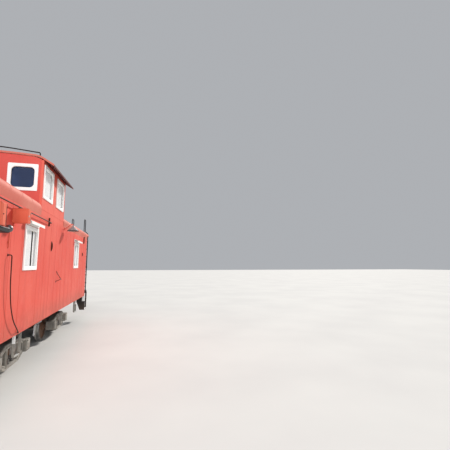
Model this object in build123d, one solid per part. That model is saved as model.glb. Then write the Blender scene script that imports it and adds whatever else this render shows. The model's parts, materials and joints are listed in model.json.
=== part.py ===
from build123d import *
import math
import os

os.makedirs("parts", exist_ok=True)

# Cupola caboose, standard gauge. Millimetres, +Z up.
# Origin: centre of the vehicle, in the plane on which the wheel flanges stand.
# -Y is the right-hand side, +X the far end, -X the near end.

# ---------------------------------------------------------------- levels
FLANGE = 25.4          # flange depth under the tread
TREAD_R = 419.0        # 33 inch wheel
AXLE_Z = FLANGE + TREAD_R
SILL_Z = 1005.0        # bottom edge of the side sheets
DECK_Z = 1180.0        # top of floor and platforms
EAVE_Z = 3440.0        # top of the side walls
COUPLER_Z = 901.0      # coupler centre line

# ---------------------------------------------------------------- plan
BODY_X = 4850.0        # half length of the body
ROOF_X = 5250.0        # half length of the roof
SILL_X = 5520.0        # half length over the end sills
PULL_X = 6060.0        # half length over the coupler faces
HALF_W = 1450.0        # half width over the side sheets
WALL = 50.0            # wall thickness

# ---------------------------------------------------------------- roof
ROOF_W = 1462.0
ROOF_T = 45.0
EAVE_R = 150.0         # rounding at the eaves
EAVE_A = 19.0          # slope of the roof where the rounding ends, degrees

# ---------------------------------------------------------------- cupola
CUP_X0, CUP_X1 = -2190.0, 120.0
CUP_SIDE_Z = 4515.0    # top of its side walls
CUP_CROWN_Z = 4660.0
CUP_CROWN_R = 20000.0
CUP_BEND_Y = 1260.0    # where the crown bends towards the eave
CUP_BEND_R = 400.0
CUP_SLOPE = 32.0       # slope of the eaves, degrees
CUP_EAVE_Y = 1655.0
CUP_ROOF_T = 36.0
CUP_OVER = 25.0        # overhang at the ends

# ---------------------------------------------------------------- windows
# name, centre along the wall, centre height, frame width, frame height
SIDE_WINDOWS = [
    ("near", -2720.0, 2560.0, 850.0, 850.0),
    ("far", 2440.0, 2560.0, 850.0, 850.0),
]
CUP_SIDE_WINDOWS = [
    ("near", -1710.0, 4060.0, 840.0, 750.0),
    ("far", -480.0, 4060.0, 840.0, 750.0),
]
CUP_END_WINDOWS = [
    ("right", -1055.0, 4110.0, 590.0, 590.0),
    ("left", 1055.0, 4110.0, 590.0, 590.0),
]
END_WINDOWS = [
    ("right", -920.0, 2560.0, 500.0, 720.0),
    ("left", 920.0, 2560.0, 500.0, 720.0),
]
FRAME_W = 72.0         # width of the frame's rails
FRAME_OUT = 22.0       # how far a frame stands proud of the wall
GLASS_T = 8.0

# ---------------------------------------------------------------- doors
DOOR_W, DOOR_H = 760.0, 1960.0
DOOR_T = 44.0

# ---------------------------------------------------------------- trucks
TRUCK_X = 2150.0
WHEELBASE = 1676.0
FRAME_Y = 1010.0       # centre plane of the side frames
FRAME_T = 150.0

NEAR, FAR = -1.0, 1.0
RIGHT, LEFT = -1.0, 1.0


def bx(x0, x1, y0, y1, z0, z1):
    return Pos((x0 + x1) / 2, (y0 + y1) / 2, (z0 + z1) / 2) * Box(
        abs(x1 - x0), abs(y1 - y0), abs(z1 - z0)
    )


def rod(p, q, r):
    a, b = Vector(*p), Vector(*q)
    return Plane(origin=a, z_dir=b - a) * Cylinder(
        r, (b - a).length, align=(Align.CENTER, Align.CENTER, Align.MIN)
    )


def pipe(points, r, bend):
    """Round bar along straight runs joined by tangent arcs."""
    path = FilletPolyline(*points, radius=bend)
    return sweep(Plane(origin=path @ 0, z_dir=path % 0) * Circle(r), path=path)


def one(shapes):
    out = shapes[0]
    for s in shapes[1:]:
        out = out + s
    return out


def put(name, *shapes):
    solids = []
    for s in shapes:
        solids += s.solids()
    body = solids[0] if len(solids) == 1 else Compound(children=solids)
    export_step(body, "parts/%s.step" % name)


# ================================================================ roof section
def roof_arcs(t):
    """Outer line of the main roof, moved in by t: radii, centres, joints."""
    phi = math.radians(EAVE_A)
    big = (ROOF_W - EAVE_R) / math.sin(phi) + EAVE_R
    zc = EAVE_Z + (EAVE_R - big) * math.cos(phi)
    join = (
        ROOF_W - EAVE_R + (EAVE_R - t) * math.sin(phi),
        EAVE_Z + (EAVE_R - t) * math.cos(phi),
    )
    mid_a = math.radians((90 - EAVE_A) / 2)
    mid = (
        ROOF_W - EAVE_R + (EAVE_R - t) * math.cos(mid_a),
        EAVE_Z + (EAVE_R - t) * math.sin(mid_a),
    )
    return (ROOF_W - t, EAVE_Z), mid, join, (0, zc + big - t)


def roof_z(y, t=0.0):
    phi = math.radians(EAVE_A)
    big = (ROOF_W - EAVE_R) / math.sin(phi) + EAVE_R
    zc = EAVE_Z + (EAVE_R - big) * math.cos(phi)
    return zc + math.sqrt((big - t) ** 2 - y * y)


def roof_line(t):
    e, m, j, c = roof_arcs(t)
    return [
        ThreePointArc(e, m, j),
        ThreePointArc(j, c, (-j[0], j[1])),
        ThreePointArc((-j[0], j[1]), (-m[0], m[1]), (-e[0], e[1])),
    ]


def roof_piece(x0, x1):
    e0, e1 = roof_arcs(0)[0], roof_arcs(ROOF_T)[0]
    edges = roof_line(0) + roof_line(ROOF_T)
    edges += [Line(e0, e1), Line((-e0[0], e0[1]), (-e1[0], e1[1]))]
    sk = Plane.YZ * make_face(Curve() + edges)
    return Pos(x0, 0, 0) * extrude(sk, x1 - x0)


def arch_panel(x0, x1, z0, half, t):
    """Cross panel whose top follows the roof's underside."""
    e = roof_arcs(t)[0]
    edges = roof_line(t)
    edges += [Line(e, (e[0], z0)), Line((e[0], z0), (-e[0], z0)), Line((-e[0], z0), (-e[0], e[1]))]
    sk = Plane.YZ * make_face(Curve() + edges)
    panel = Pos(x0, 0, 0) * extrude(sk, x1 - x0)
    return panel & bx(x0 - 1, x1 + 1, -half, half, z0 - 1, z0 + 4000)


# ================================================================ cupola roof
def cup_line(t):
    """Half outline of the cupola roof, moved in by t, from crown to eave."""
    a0 = math.asin(CUP_BEND_Y / CUP_CROWN_R)
    a1 = math.radians(CUP_SLOPE)
    zc = CUP_CROWN_Z - CUP_CROWN_R
    r0 = CUP_CROWN_R - t
    p0 = (0.0, CUP_CROWN_Z - t)
    pm = (r0 * math.sin(a0 / 2), zc + r0 * math.cos(a0 / 2))
    p1 = (r0 * math.sin(a0), zc + r0 * math.cos(a0))
    cy = (CUP_CROWN_R - CUP_BEND_R) * math.sin(a0)
    cz = zc + (CUP_CROWN_R - CUP_BEND_R) * math.cos(a0)
    r1 = CUP_BEND_R - t
    am = (a0 + a1) / 2
    pb = (cy + r1 * math.sin(am), cz + r1 * math.cos(am))
    p2 = (cy + r1 * math.sin(a1), cz + r1 * math.cos(a1))
    run = (CUP_EAVE_Y - p2[0]) / math.cos(a1)
    p3 = (CUP_EAVE_Y, p2[1] - run * math.sin(a1))
    return p0, pm, p1, pb, p2, p3


def cup_half(t, s):
    p0, pm, p1, pb, p2, p3 = [(s * p[0], p[1]) for p in cup_line(t)]
    return [ThreePointArc(p1, pb, p2), Line(p2, p3)]


def cup_crown(t):
    p0, pm, p1, pb, p2, p3 = cup_line(t)
    return ThreePointArc(p1, p0, (-p1[0], p1[1]))


def cupola_roof():
    a, b = cup_line(0)[5], cup_line(CUP_ROOF_T)[5]
    edges = [cup_crown(0), cup_crown(CUP_ROOF_T)]
    for s in (1, -1):
        edges += cup_half(0, s) + cup_half(CUP_ROOF_T, s)
        edges += [Line((s * a[0], a[1]), (s * b[0], b[1]))]
    sk = Plane.YZ * make_face(Curve() + edges)
    return Pos(CUP_X0 - CUP_OVER, 0, 0) * extrude(sk, CUP_X1 - CUP_X0 + 2 * CUP_OVER)


HANDRAIL_Y = 1360.0    # half width of the bars over the cupola roof
# y and height of the bar's bends, one half
HANDRAIL = [(1360.0, 4676.0), (690.0, 4745.0), (0.0, 4770.0)]


def cupola_handrail(x):
    """Round bar across the roof, on two end feet and two short posts."""
    foot = CUP_CROWN_Z - CUP_CROWN_R + (CUP_CROWN_R - CUP_BEND_R) * math.cos(math.asin(CUP_BEND_Y / CUP_CROWN_R))
    dy = HANDRAIL_Y - CUP_BEND_Y * (CUP_CROWN_R - CUP_BEND_R) / CUP_CROWN_R
    foot += math.sqrt(CUP_BEND_R ** 2 - dy ** 2)
    half = [(x, a, b) for a, b in HANDRAIL]
    other = [(x, -a, b) for a, b in reversed(HANDRAIL[:2])]
    bar = pipe([(x, HANDRAIL_Y, foot + 6)] + half + other + [(x, -HANDRAIL_Y, foot + 6)], 13, [30, 5000, 6000, 5000, 30])
    for y in (-480.0, 480.0):
        z = CUP_CROWN_Z - CUP_CROWN_R + math.sqrt(CUP_CROWN_R ** 2 - y * y)
        bar += rod((x, y, z + 1), (x, y, 4748), 9)
    return bar


def cupola_end(x0, x1, t):
    """End panel of the cupola, from the main roof's underside up to its own roof."""
    top = cup_line(t)
    w = HALF_W - WALL
    z = top[2][1] - (w - top[2][0]) * 0.36
    edges = [
        ThreePointArc(top[2], top[0], (-top[2][0], top[2][1])),
        Line(top[2], (w, z)),
        Line((w, z), (w, EAVE_Z)),
        Line((w, EAVE_Z), (-w, EAVE_Z)),
        Line((-w, EAVE_Z), (-w, z)),
        Line((-w, z), (-top[2][0], top[2][1])),
    ]
    sk = Plane.YZ * make_face(Curve() + edges)
    panel = Pos(x0, 0, 0) * extrude(sk, x1 - x0)
    return panel - arch_panel(x0 - 5, x1 + 5, EAVE_Z - 5, w + 20, ROOF_T)


# ================================================================ walls
def side_wall(side):
    y0, y1 = sorted((side * HALF_W, side * (HALF_W - WALL)))
    wall = bx(-BODY_X, BODY_X, y0, y1, SILL_Z, EAVE_Z)
    for name, cx, cz, w, h in SIDE_WINDOWS:
        o = FRAME_W - 12
        wall -= bx(cx - w / 2 + o, cx + w / 2 - o, y0 - 5, y1 + 5, cz - h / 2 + o, cz + h / 2 - o)
    return wall


def cupola_side(side):
    y0, y1 = sorted((side * HALF_W, side * (HALF_W - WALL)))
    wall = bx(CUP_X0, CUP_X1, y0, y1, EAVE_Z, CUP_SIDE_Z)
    for name, cx, cz, w, h in CUP_SIDE_WINDOWS:
        o = FRAME_W - 12
        wall -= bx(cx - w / 2 + o, cx + w / 2 - o, y0 - 5, y1 + 5, cz - h / 2 + o, cz + h / 2 - o)
    return wall


def end_wall(end):
    x0, x1 = sorted((end * BODY_X, end * (BODY_X - WALL)))
    wall = arch_panel(x0, x1, DECK_Z, HALF_W - WALL, ROOF_T)
    wall -= bx(x0 - 5, x1 + 5, -DOOR_W / 2, DOOR_W / 2, DECK_Z - 5, DECK_Z + DOOR_H)
    for name, cy, cz, w, h in END_WINDOWS:
        o = FRAME_W - 12
        wall -= bx(x0 - 5, x1 + 5, cy - w / 2 + o, cy + w / 2 - o, cz - h / 2 + o, cz + h / 2 - o)
    return wall


def cup_end_wall(x0, x1):
    wall = cupola_end(x0, x1, CUP_ROOF_T)
    for name, cy, cz, w, h in CUP_END_WINDOWS:
        o = FRAME_W - 12
        wall -= bx(x0 - 5, x1 + 5, cy - w / 2 + o, cy + w / 2 - o, cz - h / 2 + o, cz + h / 2 - o)
    return wall


# ================================================================ windows
def frame_y(cx, cz, w, h, side):
    """Frame on a side wall: a flange outside the wall."""
    y0, y1 = sorted((side * HALF_W, side * (HALF_W + FRAME_OUT)))
    f = bx(cx - w / 2, cx + w / 2, y0, y1, cz - h / 2, cz + h / 2)
    f -= bx(cx - w / 2 + FRAME_W, cx + w / 2 - FRAME_W, y0 - 5, y1 + 5, cz - h / 2 + FRAME_W, cz + h / 2 - FRAME_W)
    return f


def frame_x(cy, cz, w, h, xf, out):
    x0, x1 = sorted((xf, xf + out * FRAME_OUT))
    f = bx(x0, x1, cy - w / 2, cy + w / 2, cz - h / 2, cz + h / 2)
    f -= bx(x0 - 5, x1 + 5, cy - w / 2 + FRAME_W, cy + w / 2 - FRAME_W, cz - h / 2 + FRAME_W, cz + h / 2 - FRAME_W)
    return f


GAP = FRAME_W - 12     # wall opening is this much smaller than the frame, each side


def glass_y(cx, cz, w, h, side, depth=14.0):
    y0, y1 = sorted((side * (HALF_W - depth), side * (HALF_W - depth - GLASS_T)))
    return bx(cx - w / 2 + GAP, cx + w / 2 - GAP, y0, y1, cz - h / 2 + GAP, cz + h / 2 - GAP)


def glass_x(cy, cz, w, h, xf, out, depth=14.0):
    x0, x1 = sorted((xf - out * depth, xf - out * (depth + GLASS_T)))
    return bx(x0, x1, cy - w / 2 + GAP, cy + w / 2 - GAP, cz - h / 2 + GAP, cz + h / 2 - GAP)


BLIND_GAP = 90.0       # space between the two halves of a side window's blind
BLIND_SHIFT = 150.0    # how far that space lies off the middle of a near window


def blind_y(x0, x1, z0, z1, side):
    """Blind hanging in the wall opening, just behind the glass."""
    y0, y1 = sorted((side * (HALF_W - 25), side * (HALF_W - 37)))
    return bx(x0, x1, y0, y1, z0, z1)


def hood(cx, cz, w, h, side):
    """Drip hood over a side window: a sloping plate with two cheeks."""
    z = cz + h / 2 + 12
    pts = [(0, z), (0, z + 100), (8, z + 106), (120, z + 58), (120, z + 4), (112, z + 4), (112, z + 49), (12, z + 92), (12, z)]
    sk = Plane.YZ * make_face(Polyline(*[(side * (HALF_W + a), b) for a, b in pts], close=True))
    x0 = cx - w / 2 - 30
    top = Pos(x0, 0, 0) * extrude(sk, w + 60)
    return top


# ================================================================ doors
def door(end):
    """Panelled door, hinged on the outer face side of the end wall."""
    xo = end * (BODY_X - 3)
    x0, x1 = sorted((xo, xo - end * DOOR_T))
    c = 6.0
    d = bx(x0, x1, -DOOR_W / 2 + c, DOOR_W / 2 - c, DECK_Z + 8, DECK_Z + DOOR_H - c)
    d -= bx(x0 - 5, x1 + 5, -230, 230, DECK_Z + 1130, DECK_Z + 1730)
    d -= bx(xo - end * 10, xo + end * 20, -270, 270, DECK_Z + 180, DECK_Z + 980)
    knob = rod((xo, -310 * end, DECK_Z + 1000), (xo + end * 45, -310 * end, DECK_Z + 1000), 10)
    knob += Pos(xo + end * 52, -310 * end, DECK_Z + 1000) * Sphere(26)
    return d + knob


def door_glass(end):
    xo = end * (BODY_X - 3 - 18)
    x0, x1 = sorted((xo, xo - end * GLASS_T))
    return bx(x0, x1, -230, 230, DECK_Z + 1130, DECK_Z + 1730)


# ================================================================ underframe
def centre_sill():
    """Two webs under a cover plate, with the draft gear blocks and centre plates."""
    xe = SILL_X - 130
    s = [bx(-xe, xe, -160, 160, 1110, 1130)]
    for side in (RIGHT, LEFT):
        s.append(bx(-xe, xe, side * 144, side * 160, 812, 1110))
        s.append(bx(-xe, xe, side * 144, side * 250, 812, 827))
    for e in (NEAR, FAR):
        s.append(bx(e * (SILL_X - 560), e * (SILL_X - 400), -144, 144, 827, 1000))
        s.append(bx(e * (TRUCK_X - 150), e * (TRUCK_X + 150), -144, 144, 870, 930))
        s.append(Pos(e * TRUCK_X, 0, 839) * Cylinder(140, 70))
    return one(s)


# x, half length along the car, bottom
CROSS = [
    (-TRUCK_X, 170.0, 930.0), (TRUCK_X, 170.0, 930.0),
    (-1100.0, 60.0, 990.0), (0.0, 60.0, 990.0), (1100.0, 60.0, 990.0),
    (-4700.0, 60.0, 990.0), (4700.0, 60.0, 990.0),
]


def cross_members():
    """Body bolsters and cross bearers, each in two halves beside the centre sill."""
    return [bx(x - hl, x + hl, side * 160, side * 1330, z, 1130) for x, hl, z in CROSS for side in (RIGHT, LEFT)]


def outer_sills():
    """Side sills, and end sills with the striker round the coupler shank."""
    out = [bx(-BODY_X, BODY_X, side * 1330, side * 1400, SILL_Z + 15, 1130) for side in (RIGHT, LEFT)]
    for e in (NEAR, FAR):
        s = bx(e * (SILL_X - 130), e * SILL_X, -1400, 1400, 1000, 1130)
        s += bx(e * (SILL_X - 130), e * SILL_X, -250, 250, 790, 1000)
        s -= bx(e * (SILL_X - 150), e * (SILL_X + 20), -85, 85, COUPLER_Z - 80, COUPLER_Z + 80)
        out.append(s)
    return out


# ================================================================ platforms
STEP_X0, STEP_X1 = BODY_X + 30.0, SILL_X - 150.0
STEP_Y = 1080.0


def platform(end):
    p = bx(end * BODY_X, end * SILL_X, -1440, 1440, 1130, DECK_Z - 10)
    for side in (RIGHT, LEFT):
        p -= bx(end * STEP_X0, end * STEP_X1, side * STEP_Y, side * 1500, 1100, 1200)
    return p


# tread top height, inner edge, outer edge (measured from the centre line)
TREADS = [(950.0, 1150.0, 1320.0), (720.0, 1230.0, 1400.0), (490.0, 1300.0, 1470.0)]


def steps(end):
    out = []
    for side in (RIGHT, LEFT):
        parts = []
        for x in (STEP_X0, STEP_X1 - 12):
            pts = [(1085, 1168), (1450, 1168), (1475, 1120), (1475, 440), (1290, 440), (1085, 950)]
            sk = Plane.YZ * make_face(Polyline(*[(side * a, b) for a, b in pts], close=True))
            x0 = min(end * x, end * (x + 12))
            parts.append(Pos(x0, 0, 0) * extrude(sk, 12))
        for z, a, b in TREADS:
            parts.append(bx(end * STEP_X0, end * STEP_X1, side * a, side * b, z - 25, z))
        out.append(one(parts))
    return out


# ================================================================ railings
RAIL_X = SILL_X - 70.0
POST_R = 17.0


def railing(end):
    """End railing: corner posts up to the roof, inner posts, two rails each side."""
    x = end * RAIL_X
    out = []
    for side in (RIGHT, LEFT):
        yc, yi = side * 1405, side * 400
        top = 3412
        parts = [
            rod((x, yc, DECK_Z - 10), (x, yc, 2180), POST_R),
            rod((x, yi, DECK_Z - 10), (x, yi, 2180), POST_R),
            pipe([(x, yc, 2160), (x, yc, 3300), (end * (ROOF_X - 60), yc, top + 6)], POST_R, 60),
        ]
        for z in (1500, 1830, 2160):
            parts.append(rod((x, yc, z), (x, yi, z), 13))
        out.append(one(parts))
    return out


# ================================================================ end ladder
LADDER_Y = (790.0, 1270.0)
LADDER_LOW_Y = 1385.0  # the outer stile stands this far out below the eave
LADDER_X = SILL_X + 32.0
LADDER_TOP = 4190.0


def ladder(end):
    """Ladder on the outer face of the end sill, with handholds over the roof."""
    x = end * LADDER_X
    xr = end * (ROOF_X - 50)
    s = RIGHT if end > 0 else LEFT
    yi, yo, yl = s * LADDER_Y[0], s * LADDER_Y[1], s * LADDER_LOW_Y
    parts = [
        pipe([(end * SILL_X, yi, 1040), (x, yi, 1040), (x, yi, LADDER_TOP), (xr, yi, LADDER_TOP),
              (xr, yi, roof_z(LADDER_Y[0]) + 6)], 16, [26, 90, 90]),
        pipe([(end * SILL_X, yl, 1040), (x, yl, 1040), (x, yl, 3590), (x, yo, 3700), (x, yo, LADDER_TOP),
              (xr, yo, LADDER_TOP), (xr, yo, roof_z(LADDER_Y[1]) + 6)], 16, [26, 60, 60, 90, 90]),
    ]
    for z in (1330, 1650, 1970, 2290, 2610, 2930, 3250, 3550):
        parts.append(rod((x, yi, z), (x, yl, z), 11))
    for y, z in ((yi, roof_z(LADDER_Y[0], ROOF_T / 2) - 7), (yl, 3536.0)):
        parts.append(bx(end * ROOF_X, x, y - 20, y + 20, z, z + 14))
    return one(parts)


# ================================================================ grab irons
# x of the two feet, height, for the straight irons under the eave
STRAIGHT = [(-4700.0, -3550.0, 3215.0), (-3050.0, -1450.0, 3215.0)]
# corner irons: route in (x, z), from the upper foot to the lower foot
CORNER = [(-3915.0, 2395.0), (-3890.0, 1880.0), (-3790.0, 1540.0), (-3625.0, 1300.0), (-3375.0, 1110.0)]
CORNER_FOOT = (-3155.0, 1044.0)        # where its lower end meets the side sheet


def grab_irons(side):
    yo = side * (HALF_W + 62)
    yw = side * HALF_W
    out = []
    m = 1.0 if side == RIGHT else -1.0   # the left side is the right side turned half round
    for a, b, z in STRAIGHT:
        out.append(pipe([(m * a, yw, z), (m * a, yo, z), (m * b, yo, z), (m * b, yw, z)], 11, 28))
    pts = [(m * px, pz) for px, pz in CORNER]
    # the lower end meets the sheet at a slant: the bar runs on past it and is cut off flush
    foot = Vector(m * CORNER_FOOT[0], yw, CORNER_FOOT[1])
    last = Vector(pts[-1][0], yo, pts[-1][1])
    end = foot + (foot - last).normalized() * 45
    route = [(pts[0][0], yw, pts[0][1])] + [(px, yo, pz) for px, pz in pts] + [(end.X, end.Y, end.Z)]
    y0, y1 = sorted((yw, side * (HALF_W - 60)))
    out.append(pipe(route, 9, [28, 1200, 700, 700, 40]) - Pos(foot.X, (y0 + y1) / 2, foot.Z) * Box(300, y1 - y0, 160))
    return out


def stirrups():
    """Hanging steps under the side sheets, by the corner irons."""
    out = []
    for side in (RIGHT, LEFT):
        for x in (-3000.0, 3000.0):
            y = side * 1402
            bar = bx(x - 170, x - 158, y - 25, y + 25, 600, SILL_Z)
            bar += bx(x + 158, x + 170, y - 25, y + 25, 600, SILL_Z)
            bar += bx(x - 170, x + 170, y - 25, y + 25, 600, 612)
            out.append(bar)
    return out


# ================================================================ couplers
def coupler(end):
    """Knuckle coupler, closed knuckle."""
    h = 125.0
    head = [(5560, -75), (5560, 75), (5760, 90), (5840, 165), (5905, 165), (5900, 95), (5850, 60),
            (5850, 0), (5885, -40), (5990, -55), (6045, -40), (PULL_X, -85), (6045, -135), (5930, -165),
            (5780, -130), (5690, -75)]
    sk = Plane.XY * make_face(Polyline(*[(end * a, end * b) for a, b in head], close=True))
    c = Pos(0, 0, COUPLER_Z - h) * extrude(sk, 2 * h)
    c += bx(end * (SILL_X - 400), end * 5600, -62, 62, COUPLER_Z - 62, COUPLER_Z + 62)
    return c


# ================================================================ hand brake
def hand_brake(end):
    x = end * (SILL_X - 105)
    y = -900.0 * end * -1
    z = 2350.0
    parts = [rod((x, y, DECK_Z - 10), (x, y, z - 60), 19), bx(x - 45, x + 45, y - 55, y + 55, z - 130, z + 60)]
    xw = x - end * 75
    parts.append(rod((x, y, z), (xw - end * 10, y, z), 16))
    ring = Plane(origin=(xw, y, z), z_dir=(1, 0, 0)) * Torus(250, 13)
    parts.append(ring)
    for k in range(4):
        a = math.radians(45 + 90 * k)
        parts.append(rod((xw, y, z), (xw, y + 250 * math.cos(a), z + 250 * math.sin(a)), 9))
    return one(parts)


# ================================================================ wall fittings
LAMP_X, LAMP_Z = 330.0, 3205.0


def wall_lamp(side):
    """Gooseneck lamp with a conical shade."""
    y = side * (HALF_W + 225)
    cone = [(0, 165), (22, 165), (32, 132), (158, 8), (158, 0), (151, 0), (26, 120), (0, 120)]
    shade = Pos(LAMP_X, y, LAMP_Z) * revolve(make_face(Plane.XZ * Polyline(*cone, close=True)), Axis.Z)
    neck = pipe([
        (LAMP_X, side * (HALF_W + 8), LAMP_Z + 80), (LAMP_X, side * (HALF_W + 45), LAMP_Z + 80),
        (LAMP_X, side * (HALF_W + 165), LAMP_Z + 195), (LAMP_X, y, LAMP_Z + 195), (LAMP_X, y, LAMP_Z + 140)
    ], 11, 34)
    foot = Pos(LAMP_X, side * (HALF_W + 6), LAMP_Z + 80) * Rot(90, 0, 0) * Cylinder(48, 12)
    return one([foot, neck, shade])


def service_box():
    """Closed wall cabinet that stands out from the side sheet."""
    return bx(-3850, -3710, -HALF_W - 240, -HALF_W, 2930, 3170)


def corner_box():
    """Lamp cabinet at the near corner, with rounded edges, and the lamp bar under it."""
    b = bx(-4830, -4590, -HALF_W - 180, -HALF_W, 2790, 3110)
    b = fillet(b.edges().filter_by(Axis.Z).group_by(Axis.Y)[0], 55)
    bar = bx(-4800, -4370, -HALF_W - 150, -HALF_W, 2710, 2782)
    knob = Pos(-4264, -HALF_W - 100, 2788) * Sphere(60)
    arm = rod((-4372, -HALF_W - 100, 2758), (-4264, -HALF_W - 100, 2788), 26)
    return b, one([bar, arm, knob])


def smoke_stack():
    x, y = -3700.0, 760.0
    z0 = roof_z(y) - 20
    s = Pos(x, y, (z0 + 4250) / 2) * Cylinder(85, 4250 - z0)
    s -= Pos(x, y, 4230) * Cylinder(75, 200)
    s += Pos(x, y, z0 + 55) * Cylinder(150, 50)
    cap = Pos(x, y, 4330) * Cone(160, 20, 70)
    legs = [rod((x + 78 * math.cos(a), y + 78 * math.sin(a), 4200), (x + 100 * math.cos(a), y + 100 * math.sin(a), 4310), 7)
            for a in (0.3, 0.3 + 2.094, 0.3 + 4.189)]
    s = one([s, cap] + legs)
    return s - arch_panel(x - 400, x + 400, 3000, 1400, 0)


def brake_gear():
    """Air reservoir and brake cylinder hung under the floor."""
    res = Pos(-435, 760, 905) * Rot(0, 90, 0) * Cylinder(170, 700)
    res += bx(-680, -640, 720, 800, 905, 1130) + bx(-230, -190, 720, 800, 905, 1130)
    cyl = Pos(620, 620, 960) * Rot(0, 90, 0) * Cylinder(120, 420)
    cyl += bx(560, 680, 600, 640, 960, 1130) + rod((800, 620, 960), (1000, 620, 960), 22)
    valve = bx(440, 640, -720, -480, 900, 1060) + bx(520, 560, -620, -580, 1050, 1130)
    return res, cyl, valve


# ================================================================ trucks
def side_frame(cx, side):
    """Cast side frame with journal boxes, tension and compression members."""
    outer = [(-1010, 330), (-1010, 560), (-700, 590), (-430, 700), (430, 700), (700, 590), (1010, 560),
             (1010, 330), (690, 330), (400, 215), (-400, 215), (-690, 330)]
    y0 = side * FRAME_Y - FRAME_T / 2
    sk = Plane.XZ * make_face(Polyline(*outer, close=True))
    f = Pos(cx, y0 + FRAME_T, 0) * extrude(sk, FRAME_T)
    f -= bx(cx - 270, cx + 270, y0 - 5, y0 + FRAME_T + 5, 290, 600)
    for e in (-1, 1):
        tri = [(e * 380, 320), (e * 380, 610), (e * 610, 520), (e * 610, 390)]
        t = Plane.XZ * make_face(Polyline(*tri, close=True))
        f -= Pos(cx, y0 + FRAME_T + 5, 0) * extrude(t, FRAME_T + 10)
        jx = cx + e * WHEELBASE / 2
        yo = side * (FRAME_Y + 130)
        yi = side * (FRAME_Y - 90)
        f += bx(jx - 145, jx + 145, yi, yo, 325, 575)
        a, b = sorted((side * (FRAME_Y - 110), side * (FRAME_Y + 82)))
        f -= Pos(jx, (a + b) / 2, AXLE_Z) * Rot(90, 0, 0) * Cylinder(63, b - a)
    return f


def truck_bolster(cx):
    b = bx(cx - 190, cx + 190, -1100, 1100, 475, 594)
    b += bx(cx - 190, cx + 190, -880, 880, 475, 740)
    b += Pos(cx, 0, 768) * Cylinder(170, 60)
    return b


def truck_springs(cx):
    out = []
    for side in (RIGHT, LEFT):
        for dx in (-120, 120):
            out.append(Pos(cx + dx, side * FRAME_Y, 382.5) * Cylinder(70, 185))
    return out


def brake_beams(cx):
    out = []
    for e in (-1, 1):
        ax = cx + e * WHEELBASE / 2
        bar = bx(cx + e * 285, cx + e * 335, -930, 930, 415, 465)
        for side in (RIGHT, LEFT):
            bar += bx(cx + e * 330, cx + e * 450, side * 722, side * 800, 330, 550)
        bar -= Pos(ax, 0, AXLE_Z) * Rot(90, 0, 0) * Cylinder(427, 2400)
        out.append(bar)
    return out


# wheelset outline: radius, distance from the centre line
WHEEL = [
    (82, 0), (82, 640), (120, 640), (120, 735), (352, 728), (360, 680), (436, 680), (444.4, 688),
    (444.4, 700), (434, 712), (422, 720), (419, 760), (415, 812), (360, 815), (352, 772), (120, 768),
    (120, 835), (75, 835), (75, 870), (60, 884), (60, 1060),
]


def wheelset(cx):
    right = [(r, y) for r, y in WHEEL]
    left = [(r, -y) for r, y in reversed(WHEEL[1:])]
    pts = [(0, -1060)] + left + right + [(0, 1060)]
    prof = make_face(Polyline(*pts, close=True))
    return Pos(cx, 0, AXLE_Z) * revolve(prof, Axis.Y)


# ================================================================ write the nodes
put("centre_sill", centre_sill())
put("cross_members", *cross_members())
put("outer_sills", *outer_sills())
put("cabin_floor", bx(-BODY_X, BODY_X, -1398, 1398, 1130, DECK_Z))

for tag, e in (("near", NEAR), ("far", FAR)):
    put("platform_" + tag, platform(e))
    put("steps_" + tag, *steps(e))
    put("railing_" + tag, *railing(e))
    put("ladder_" + tag, ladder(e))
    put("coupler_" + tag, coupler(e))
    put("end_wall_" + tag, end_wall(e))
    put("door_" + tag, door(e))
    put("door_glass_" + tag, door_glass(e))

for tag, s in (("right", RIGHT), ("left", LEFT)):
    put("wall_" + tag, side_wall(s))
    put("cupola_side_" + tag, cupola_side(s))
    put("grab_irons_" + tag, *grab_irons(s))

put("roof_near", roof_piece(-ROOF_X, CUP_X0))
put("roof_far", roof_piece(CUP_X1, ROOF_X))
put("cupola_end_near", cup_end_wall(CUP_X0, CUP_X0 + WALL))
put("cupola_end_far", cup_end_wall(CUP_X1 - WALL, CUP_X1))
put("cupola_roof", cupola_roof())
put("cupola_handrails", cupola_handrail(CUP_X0 + 15), cupola_handrail(CUP_X1 - 15))

frames, panes, blinds, hoods = [], [], [], []
for s in (RIGHT, LEFT):
    for name, c, z, w, h in SIDE_WINDOWS:
        frames.append(frame_y(c, z, w, h, s))
        panes.append(glass_y(c, z, w, h, s))
        z0, z1 = z - h / 2 + GAP + 2, z + h / 2 - GAP - 2
        mid = c + (BLIND_SHIFT if name == "near" else 0)
        blinds.append(blind_y(c - w / 2 + GAP + 2, mid - BLIND_GAP / 2, z0, z1, s))
        blinds.append(blind_y(mid + BLIND_GAP / 2, c + w / 2 - GAP - 2, z0, z1, s))
        hoods.append(hood(c, z, w, h, s))
for e in (NEAR, FAR):
    for name, c, z, w, h in END_WINDOWS:
        frames.append(frame_x(c, z, w, h, e * BODY_X, e))
        panes.append(glass_x(c, z, w, h, e * BODY_X, e))
put("cabin_window_frames", *frames)
put("cabin_window_glass", *panes)
put("window_hoods", *hoods)

frames, panes = [], []
for s in (RIGHT, LEFT):
    for name, c, z, w, h in CUP_SIDE_WINDOWS:
        frames.append(frame_y(c, z, w, h, s))
        panes.append(glass_y(c, z, w, h, s))
        blinds.append(blind_y(c - w / 2 + GAP + 2, c + w / 2 - GAP - 2, z - h / 2 + GAP + 2, z + h / 2 - GAP - 2, s))
for xf, out in ((CUP_X0, -1), (CUP_X1, 1)):
    for name, c, z, w, h in CUP_END_WINDOWS:
        frames.append(frame_x(c, z, w, h, xf, out))
        panes.append(glass_x(c, z, w, h, xf, out))
put("cupola_window_frames", *frames)
put("cupola_window_glass", *panes)
put("window_blinds", *blinds)

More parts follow.
